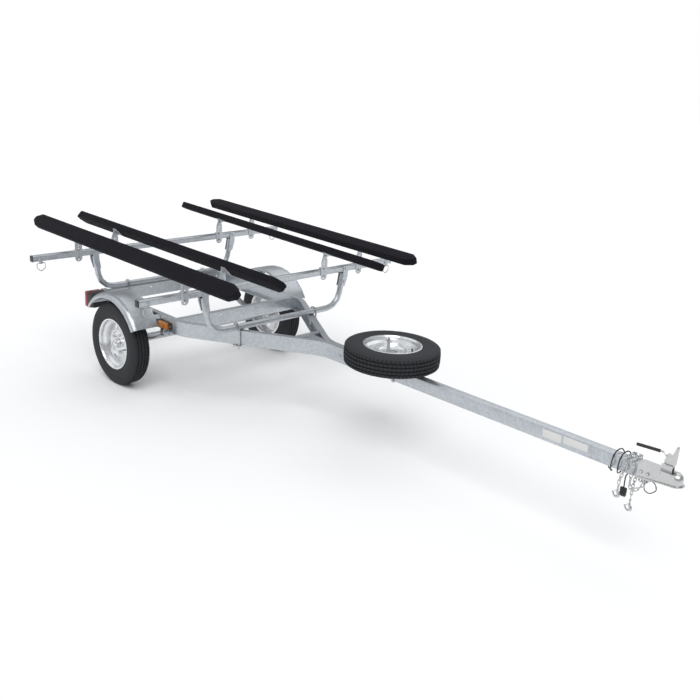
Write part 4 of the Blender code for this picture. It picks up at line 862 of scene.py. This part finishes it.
for wheel_name, (place, turn) in WHEELS.items():
    rim = bmesh.new()
    wheel_place = seated(place, turn)
    take_dressed(rim, rim_shape(), wheel_place)
    body = "frame" if wheel_name == "spare" else f"wheel_{wheel_name}"
    stands_for = "spare_rim" if wheel_name == "spare" else f"rim_{wheel_name}"
    piece(f"pressed_rim_{wheel_name}", rim, body, [silver, jacket], [stands_for], 32)

# Hubs: cast hubs with a flange behind the disc, five studs with tapered nuts
# and a pressed grease cap driven into the end.
HUB_STEPS = 48
STUD_RADIUS = 0.0055
NUT_RADIUS = 0.0105
for side_name in ("right", "left"):
    hub = bmesh.new()
    hub_place = seated(*WHEELS[side_name])
    seat = WHEEL_FACE - 0.0043
    core = [
        (0.0129, -0.044),
        (0.0290, -0.044),
        (0.0300, seat - 0.009),
        (0.0340, seat - 0.008),
        (LUG_CIRCLE + 0.012, seat - 0.008),
        (LUG_CIRCLE + 0.013, seat - 0.007),
        (LUG_CIRCLE + 0.013, seat),
        (0.0312, seat),
        (0.0312, seat + 0.011),
        (0.0300, seat + 0.012),
        (0.0129, seat + 0.012),
    ]
    spun(hub, core, HUB_STEPS, 0, hub_place)
    cap = [
        (0.0000, seat + 0.0410),
        (0.0090, seat + 0.0405),
        (0.0150, seat + 0.0385),
        (0.0180, seat + 0.0350),
        (0.0235, seat + 0.0330),
        (0.0252, seat + 0.0310),
        (0.0256, seat + 0.0160),
        (0.0275, seat + 0.0150),
        (0.0275, seat + 0.0115),
        (0.0000, seat + 0.0115),
    ]
    spun(hub, cap, HUB_STEPS, 1, hub_place, False)
    bits = bmesh.new()
    for number in range(LUG_COUNT):
        angle = 2 * pi * number / LUG_COUNT
        x, y = LUG_CIRCLE * cos(angle), LUG_CIRCLE * sin(angle)
        rest = WHEEL_FACE + TOUCH
        rod(bits, (x, y, seat - 0.004), (x, y, rest + 0.018), STUD_RADIUS, sides=16, edge=0.0008)
        rod(bits, (x, y, rest - 0.002), (x, y, rest + 0.004), LUG_HOLE, sides=24, tip=NUT_RADIUS)
        base, end = (x, y, rest + 0.004), (x, y, rest + 0.016)
        rod(bits, base, end, NUT_RADIUS, sides=6, tip=0.0101, edge=0.001)
    take_bit(hub, bits, 1, hub_place)
    piece(
        f"hub_and_nuts_{side_name}",
        hub,
        f"wheel_{side_name}",
        [zinc_plate, silver],
        [f"hub_{side_name}"],
        35,
    )

# Hot-dip galvanised steel: rails, crossmembers, tongue, axle, springs, fenders,
# support tubes and load bars. The zinc froze in large pale and dark crystals.
galvanised = metal(
    "galvanised", (0.66, 0.69, 0.72), (0.36, 0.39, 0.42), 0.36, 0.10, 0.011, 0.45, 0.0006, 0.85
)
spring_steel = metal(
    "spring_steel", (0.50, 0.52, 0.54), (0.34, 0.36, 0.38), 0.48, 0.08, 0.006, 0.3, 0.0004, 0.85
)


def keep(names, made, edge=0.0006, smooth=35):
    """Finishes nodes of the frame that keep their own shape."""
    for name in names:
        node = nodes[name]
        node.data.materials.clear()
        node.data.materials.append(made)
        for face in node.data.polygons:
            face.use_smooth = True
        weld = node.modifiers.new("weld", "WELD")
        weld.merge_threshold = 0.00002
        if edge:
            round_over = node.modifiers.new("edge", "BEVEL")
            round_over.limit_method = "ANGLE"
            round_over.angle_limit = radians(smooth)
            round_over.width = edge
            round_over.segments = 1
            round_over.use_clamp_overlap = True
        split = node.modifiers.new("split", "EDGE_SPLIT")
        split.split_angle = radians(smooth)


keep(
    [
        "frame_rail_right",
        "frame_rail_left",
        "rear_crossmember",
        "front_crossmember",
        "tongue_cross_channel",
        "tongue_tube",
        "axle_beam",
        "fender_right",
        "fender_left",
        "rear_support_tube",
        "front_support_tube",
        "rear_load_bar",
        "front_load_bar",
        "spare_carrier",
    ],
    galvanised,
)
keep(["leaf_spring_right", "leaf_spring_left"], spring_steel)
keep(
    [
        "rear_clamp_right",
        "rear_clamp_left",
        "front_clamp_right",
        "front_clamp_left",
        "spare_carrier_nut",
        "tie_ring_rear_right",
        "tie_ring_rear_left",
        "tie_ring_front_right",
        "tie_ring_front_left",
        "coupler_body",
        "coupler_ball_clamp",
    ],
    zinc_plate,
    0.0004,
)

# Lamps: square tail lamps with a black housing and a ribbed red lens behind,
# and amber side markers on black bases.
housing = moulded("lamp_housing", (0.016, 0.016, 0.018), 0.42, 500, 0.0001)


def lens_material(name, colour, light):
    """Clear coloured plastic with moulded prisms under a smooth skin, and a painted glint: each
    prism band is lighter in colour.
    """
    made, tree, links, shader, spot = blank(name)
    shader.inputs["Roughness"].default_value = 0.14
    shader.inputs["Coat Weight"].default_value = 0.6
    prism = tree.new("ShaderNodeTexWave")
    prism.bands_direction = "Z"
    prism.inputs["Scale"].default_value = 90.0
    links.new(spot, prism.inputs["Vector"])
    # Painted glint: the lighter tone on each prism band paints light caught in the prisms; the
    # plastic itself is one colour.
    two_tones(tree, links, prism.outputs["Fac"], colour, light, shader)
    relief(tree, links, prism.outputs["Fac"], 0.4, 0.0008, shader)
    return made


# The second colour of each lens is its painted glint on the prism bands.
red_lens = lens_material("red_lens", (0.22, 0.010, 0.008), (0.36, 0.035, 0.026))
amber_lens = lens_material("amber_lens", (0.36, 0.105, 0.008), (0.55, 0.19, 0.02))
keep(["tail_light_right", "tail_light_left"], housing, 0.0010)
keep(["tail_lens_right", "tail_lens_left"], red_lens, 0.0010)
RAIL_HALF_GAUGE = 0.500
RAIL_HEIGHT = 0.0889
RAIL_MIDDLE = RAIL_TOP - RAIL_HEIGHT / 2
MARKER_BASE = (0.120, 0.007, 0.046)
MARKER_LENS = (0.090, 0.020, 0.042)
MARKER_RIB = (0.003, 0.0206, 0.0424)
MARKER_SCREW = 0.0042
for side_name, side in (("right", -1), ("left", 1)):
    marker = bmesh.new()
    seat = RAIL_HALF_GAUGE + TOUCH
    z = RAIL_MIDDLE - 0.006
    base_y, lens_y = side * (seat + 0.0035), side * (seat + 0.0155)
    block(marker, MARKER_BASE, (0.332, base_y, z), 0, 0.002)
    block(marker, MARKER_LENS, (0.321, lens_y, z), 1, 0.005, 3)
    for x in (0.281, 0.361):
        block(marker, MARKER_RIB, (x, lens_y, z), 1, 0.001)
    screw_y = side * (seat + 0.007)
    screw, head = (0.379, screw_y, z), (0.379, screw_y + side * 0.002, z)
    rod(marker, screw, head, MARKER_SCREW, 2, 16, edge=0.0008)
    piece(
        f"marker_lamp_{side_name}",
        marker,
        "frame",
        [housing, amber_lens, zinc_plate],
        [f"side_marker_{side_name}"],
        40,
    )

# Plastic plugs and caps: black polyethylene pushed into the open ends of the
# load bars and of the bent support tubes.
BAR_X = (-0.404, 0.782)
BAR_HEIGHT = 0.769
BAR_SECTION = 0.0381
BAR_HALF_LENGTH = 1.981 / 2
ARM_FOOT_Y = 0.517
ARM_TOP_Y = 0.554
ARM_TOP = 0.738
TUBE_MIDDLE = 0.519
TUBE_RADIUS = 0.0188
PLUG_RADIUS = 0.0160
for end_name, x in zip(("rear", "front"), BAR_X):
    caps = bmesh.new()
    for side in (-1, 1):
        cap_middle = (x, side * (BAR_HALF_LENGTH + 0.0008), BAR_HEIGHT)
        cap_size = (BAR_SECTION + 0.0012, 0.0036, BAR_SECTION + 0.0012)
        block(caps, cap_size, cap_middle, 0, 0.0016)
    piece(f"bar_caps_{end_name}", caps, "frame", [jacket])
    plugs = bmesh.new()
    for side in (-1, 1):
        top = Vector((x, side * ARM_TOP_Y, ARM_TOP))
        lean = Vector((0, side * (ARM_TOP_Y - ARM_FOOT_Y), ARM_TOP - TUBE_MIDDLE)).normalized()
        rod(plugs, top - lean * 0.006, top + lean * 0.0022, PLUG_RADIUS, 0, 32, edge=0.0006)
        rod(plugs, top + lean * 0.0004, top + lean * 0.0026, TUBE_RADIUS, 0, 32, edge=0.0008)
    piece(f"tube_plugs_{end_name}", plugs, "frame", [jacket])

# Bunks: timber boards wrapped in black marine carpet, which is folded round the
# pointed ends and stapled under. Each tilts on two steel ears below it.
BUNK_STRAPS = {
    "bunk_1": (-0.682, -0.699, 45),
    "bunk_2": (-0.418, -0.442, -45),
    "bunk_3": (0.436, 0.363, -24),
    "bunk_4": (0.735, 0.677, 16),
}
BUNK_LENGTH = 2.205
BUNK_WIDTH = 0.093
BUNK_THICKNESS = 0.043
BUNK_CHAMFER = 0.055
BUNK_BLUNT = 0.35
BUNK_EDGE = 0.008
BUNK_MIDDLE_X = 0.213
PIVOT_HEIGHT = 0.877
PIVOT_DROP = 0.038
STRAP_THICKNESS = 0.004
EAR_GAP = 0.0009
EAR_X = BAR_SECTION / 2 + TOUCH + STRAP_THICKNESS * 1.5 + EAR_GAP
EAR_BASE = 0.035
EAR_TIP = 0.012
EAR_HOLE = 0.0060
EAR_SCREW = 0.0050


def carpet_material():
    """Short black pile: tufts of fibre, a slight sheen and lighter worn streaks."""
    made, tree, links, shader, spot = blank("marine_carpet")
    shader.inputs["Roughness"].default_value = 0.95
    shader.inputs["Specular IOR Level"].default_value = 0.05
    shader.inputs["Sheen Weight"].default_value = 0.04
    shader.inputs["Sheen Roughness"].default_value = 0.6
    fibre = noise(tree, links, spot, 900.0, 3.0)
    wear = noise(tree, links, spot, 11.0, 8.0)
    share = blended(tree, links, fibre, wear, 0.55)
    two_tones(tree, links, share, (0.0045, 0.0043, 0.0060), (0.0170, 0.0162, 0.0225), shader)
    tufts = cells(tree, links, spot, 420.0)
    relief(tree, links, tufts.outputs["Distance"], 0.8, 0.0012, shader)
    return made


carpet = carpet_material()
FACING_X = Matrix(((0, 0, 1), (1, 0, 0), (0, 1, 0))).to_4x4()
FACING_Y = Matrix(((1, 0, 0), (0, 0, -1), (0, 1, 0))).to_4x4()
for bunk_name, (rear_y, front_y, lean) in BUNK_STRAPS.items():
    middle_x = (BAR_X[0] + BAR_X[1]) / 2
    span = BAR_X[1] - BAR_X[0]
    yaw = atan2(front_y - rear_y, span)
    shift = (BUNK_MIDDLE_X - middle_x - EAR_X) / cos(yaw)
    tilt = Euler((radians(lean), 0, yaw)).to_matrix().to_4x4()
    place = Matrix.Translation((middle_x + EAR_X, (rear_y + front_y) / 2, PIVOT_HEIGHT))
    bunk_place = place @ tilt
    half, edge = BUNK_LENGTH / 2, BUNK_WIDTH / 2
    blunt = edge * BUNK_BLUNT
    outline = [
        (-half, -blunt),
        (BUNK_CHAMFER - half, -edge),
        (half - BUNK_CHAMFER, -edge),
        (half, -blunt),
        (half, blunt),
        (half - BUNK_CHAMFER, edge),
        (BUNK_CHAMFER - half, edge),
        (-half, blunt),
    ]
    board = bmesh.new()
    level = Matrix.Translation((shift, 0, PIVOT_DROP))
    plate(board, outline, BUNK_THICKNESS, level)
    bmesh.ops.dissolve_limit(board, angle_limit=0.01, verts=board.verts[:], edges=board.edges[:])
    bmesh.ops.bevel(
        board,
        geom=board.edges[:],
        offset=BUNK_EDGE,
        segments=4,
        profile=0.5,
        affect="EDGES",
        material=-1,
    )
    cover = bmesh.new()
    take_bit(cover, board, 0, bunk_place)
    piece(f"carpet_{bunk_name}", cover, bunk_name, [carpet], [bunk_name], 50)
    ears = bmesh.new()
    under = PIVOT_DROP - BUNK_THICKNESS / 2
    for end in (-1, 1):
        ear_x = end * span / 2 / cos(yaw)
        tip = arc((0, 0), EAR_TIP, 10, radians(215), radians(325))
        ear_outline = [(-EAR_BASE, under), *tip, (EAR_BASE, under)]
        hole = arc((0, 0), EAR_HOLE, 16)
        stand = Matrix.Translation((ear_x, 0, 0)) @ FACING_X
        plate(ears, ear_outline, STRAP_THICKNESS, stand, 0, [hole], 0.0005)
        foot = (ear_x + 0.016, 0, under - 0.0008)
        block(ears, (0.036, 2 * EAR_BASE, 0.0032), foot, 0, 0.0008)
        for y in (-0.022, 0.022):
            screw = (ear_x + 0.018, y, under - 0.0050)
            rod(ears, screw, (screw[0], y, under - 0.001), EAR_SCREW, 1, 6, edge=0.0005)
    steel = bmesh.new()
    take_dressed(steel, ears, bunk_place)
    piece(f"ears_{bunk_name}", steel, bunk_name, [galvanised, zinc_plate])

# Bunk straps: flat bar with a row of punched holes, held to the load bar by a
# square U-bolt with two nuts, and carrying the bunk's pivot bolt at its top.
STRAP_WIDTH = 0.050
STRAP_FOOT = 0.720
STRAP_HOLE = 0.0045
STRAP_BOLT = 0.0036
STRAP_NUT = 0.0066
STRAP_WASHER = 0.0085
STRAP_TIP = 0.014
STRAP_NECK = 0.030
HOLE_ROW = 0.806
HOLE_PITCH = 0.0175
BOLT_CORNER = 0.006
PIVOT_BOLT = 0.004
PIVOT_NUT = 0.0073
STRAP_X = BAR_SECTION / 2 + TOUCH + STRAP_THICKNESS / 2
for bunk_name, (rear_y, front_y, _) in BUNK_STRAPS.items():
    for end_name, x, y in (("rear", BAR_X[0], rear_y), ("front", BAR_X[1], front_y)):
        strap = bmesh.new()
        half = STRAP_WIDTH / 2
        lower = arc((0, STRAP_FOOT + half), half, 16, pi, 2 * pi)
        upper = arc((0, PIVOT_HEIGHT), STRAP_TIP, 10, radians(30), radians(150))
        neck = PIVOT_HEIGHT - STRAP_NECK
        outline = [*lower, (half, neck), *upper, (-half, neck)]
        rows = [STRAP_FOOT + 0.012, *(HOLE_ROW + HOLE_PITCH * number for number in range(3))]
        holes = [arc((0, height), STRAP_HOLE, 14) for height in rows]
        face_on = Matrix.Translation((x + STRAP_X, y, 0)) @ FACING_X
        plate(strap, outline, STRAP_THICKNESS, face_on, 0, holes, 0.0006)
        reach = BAR_SECTION / 2 + TOUCH + STRAP_BOLT
        front = STRAP_X + STRAP_THICKNESS / 2
        loop = rounded(
            [
                (front + 0.012, 0, reach),
                (-reach, 0, reach),
                (-reach, 0, -reach),
                (front + 0.012, 0, -reach),
            ],
            BOLT_CORNER,
            5,
        )
        middle = Vector((x, y, BAR_HEIGHT))
        wire(strap, [spot + middle for spot in loop], STRAP_BOLT, 1)
        for z in (-reach, reach):
            seat = middle + Vector((front, 0, z))
            out = Vector((1, 0, 0))
            rod(strap, seat, seat + out * 0.0012, STRAP_WASHER, 1, 20)
            nut_end = seat + out * 0.0075
            rod(strap, seat + out * 0.0012, nut_end, STRAP_NUT, 1, 6, edge=0.0006)
        pivot = Vector((x + STRAP_X, y, PIVOT_HEIGHT))
        nose = EAR_X - STRAP_X + STRAP_THICKNESS / 2 + EAR_GAP
        bolt_end = pivot + out * (nose + 0.009)
        rod(strap, pivot - out * 0.003, bolt_end, PIVOT_BOLT, 1, 16, edge=0.0006)
        back = pivot - out * (STRAP_THICKNESS / 2)
        rod(strap, back - out * 0.0058, back, PIVOT_NUT, 1, 6, edge=0.0006)
        face = pivot + out * nose
        rod(strap, face, pivot + out * (nose + 0.006), PIVOT_NUT, 1, 6, edge=0.0006)
        name = f"{bunk_name.replace('bunk', 'bunk_bracket')}_{end_name}"
        piece(
            f"strap_{bunk_name}_{end_name}",
            strap,
            "frame",
            [galvanised, zinc_plate],
            [name],
        )

# Coupler latch: a pressed lever plate on its pin, with a bent rod whose end is
# dipped in black vinyl for the hand.
LATCH_PIN = Vector((3.372, 0, 0.524))
BLADE_WIDTH = 0.016
PIN_AND_STEM = 0.0040
GRIP_RADIUS = 0.0074
lever = bmesh.new()
blade = [
    (-0.014, -0.010),
    (0.020, -0.010),
    (0.031, 0.012),
    (0.034, 0.092),
    (0.027, 0.097),
    (0.011, 0.048),
    (-0.008, 0.056),
    (-0.018, 0.024),
]
plate(lever, blade, BLADE_WIDTH, Matrix.Translation(LATCH_PIN) @ FACING_Y, 0, (), 0.0015)
across = Vector((0, BLADE_WIDTH, 0))
rod(lever, LATCH_PIN - across, LATCH_PIN + across, PIN_AND_STEM, 0, 20, edge=0.0006)
stem = rounded([(-0.004, 0, 0.030), (-0.030, 0, 0.0535), (-0.090, 0, 0.0495)], 0.012, 6)
wire(lever, [spot + LATCH_PIN for spot in stem], PIN_AND_STEM)
grip_start = Vector((-0.045, 0, 0.0525)) + LATCH_PIN
grip_end = Vector((-0.157, 0, 0.0450)) + LATCH_PIN
rod(lever, grip_start, grip_end, GRIP_RADIUS, 1, 24, edge=0.0030)
piece(
    "latch_lever",
    lever,
    "coupler_lever",
    [zinc_plate, jacket],
    ["coupler_lever"],
)

# Breakaway cable: a short loop of vinyl-coated wire rope through the chain bolt,
# closed by two crimped ferrules, hanging under the coupler.
CABLE_RADIUS = 0.0022
FERRULE_RADIUS = 0.0036
cable = bmesh.new()
cable_bends = [
    (3.287, 0.016, 0.4200),
    (3.318, 0.019, 0.4100),
    (3.334, 0.012, 0.3850),
    (3.312, 0.002, 0.3640),
    (3.288, -0.002, 0.3720),
    (3.281, 0.004, 0.3960),
    (3.285, 0.012, 0.4180),
]
cable_path = softened(cable_bends, CURVE_STEPS)
wire(cable, cable_path, CABLE_RADIUS)
for number in (9, 27):
    start, end = cable_path[number], cable_path[number + 2]
    middle, reach = (start + end) / 2, (end - start).normalized() * 0.006
    rod(cable, middle - reach, middle + reach, FERRULE_RADIUS, 1, 16, edge=0.0006)
piece("breakaway_cable", cable, "frame", [jacket, zinc_plate])

# Labels: two bare pale stickers on the tongue's near face, thin printed film
# pressed on the zinc.
LABEL_PLACES = ((2.756, 2.858, 0.446, 0.486), (2.869, 3.000, 0.452, 0.488))
LABEL_THICKNESS = 0.0005
sticker = moulded("bare_sticker", (0.72, 0.72, 0.70), 0.45, 200, 0.00005, spread=0.08)
labels = bmesh.new()
for x0, x1, low, high in LABEL_PLACES:
    middle = ((x0 + x1) / 2, -TONGUE_WIDTH / 2 - 0.0002, (low + high) / 2)
    block(labels, (x1 - x0, LABEL_THICKNESS, high - low), middle, 0, 0.0001)
piece("bare_labels", labels, "frame", [sticker])

low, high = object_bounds()
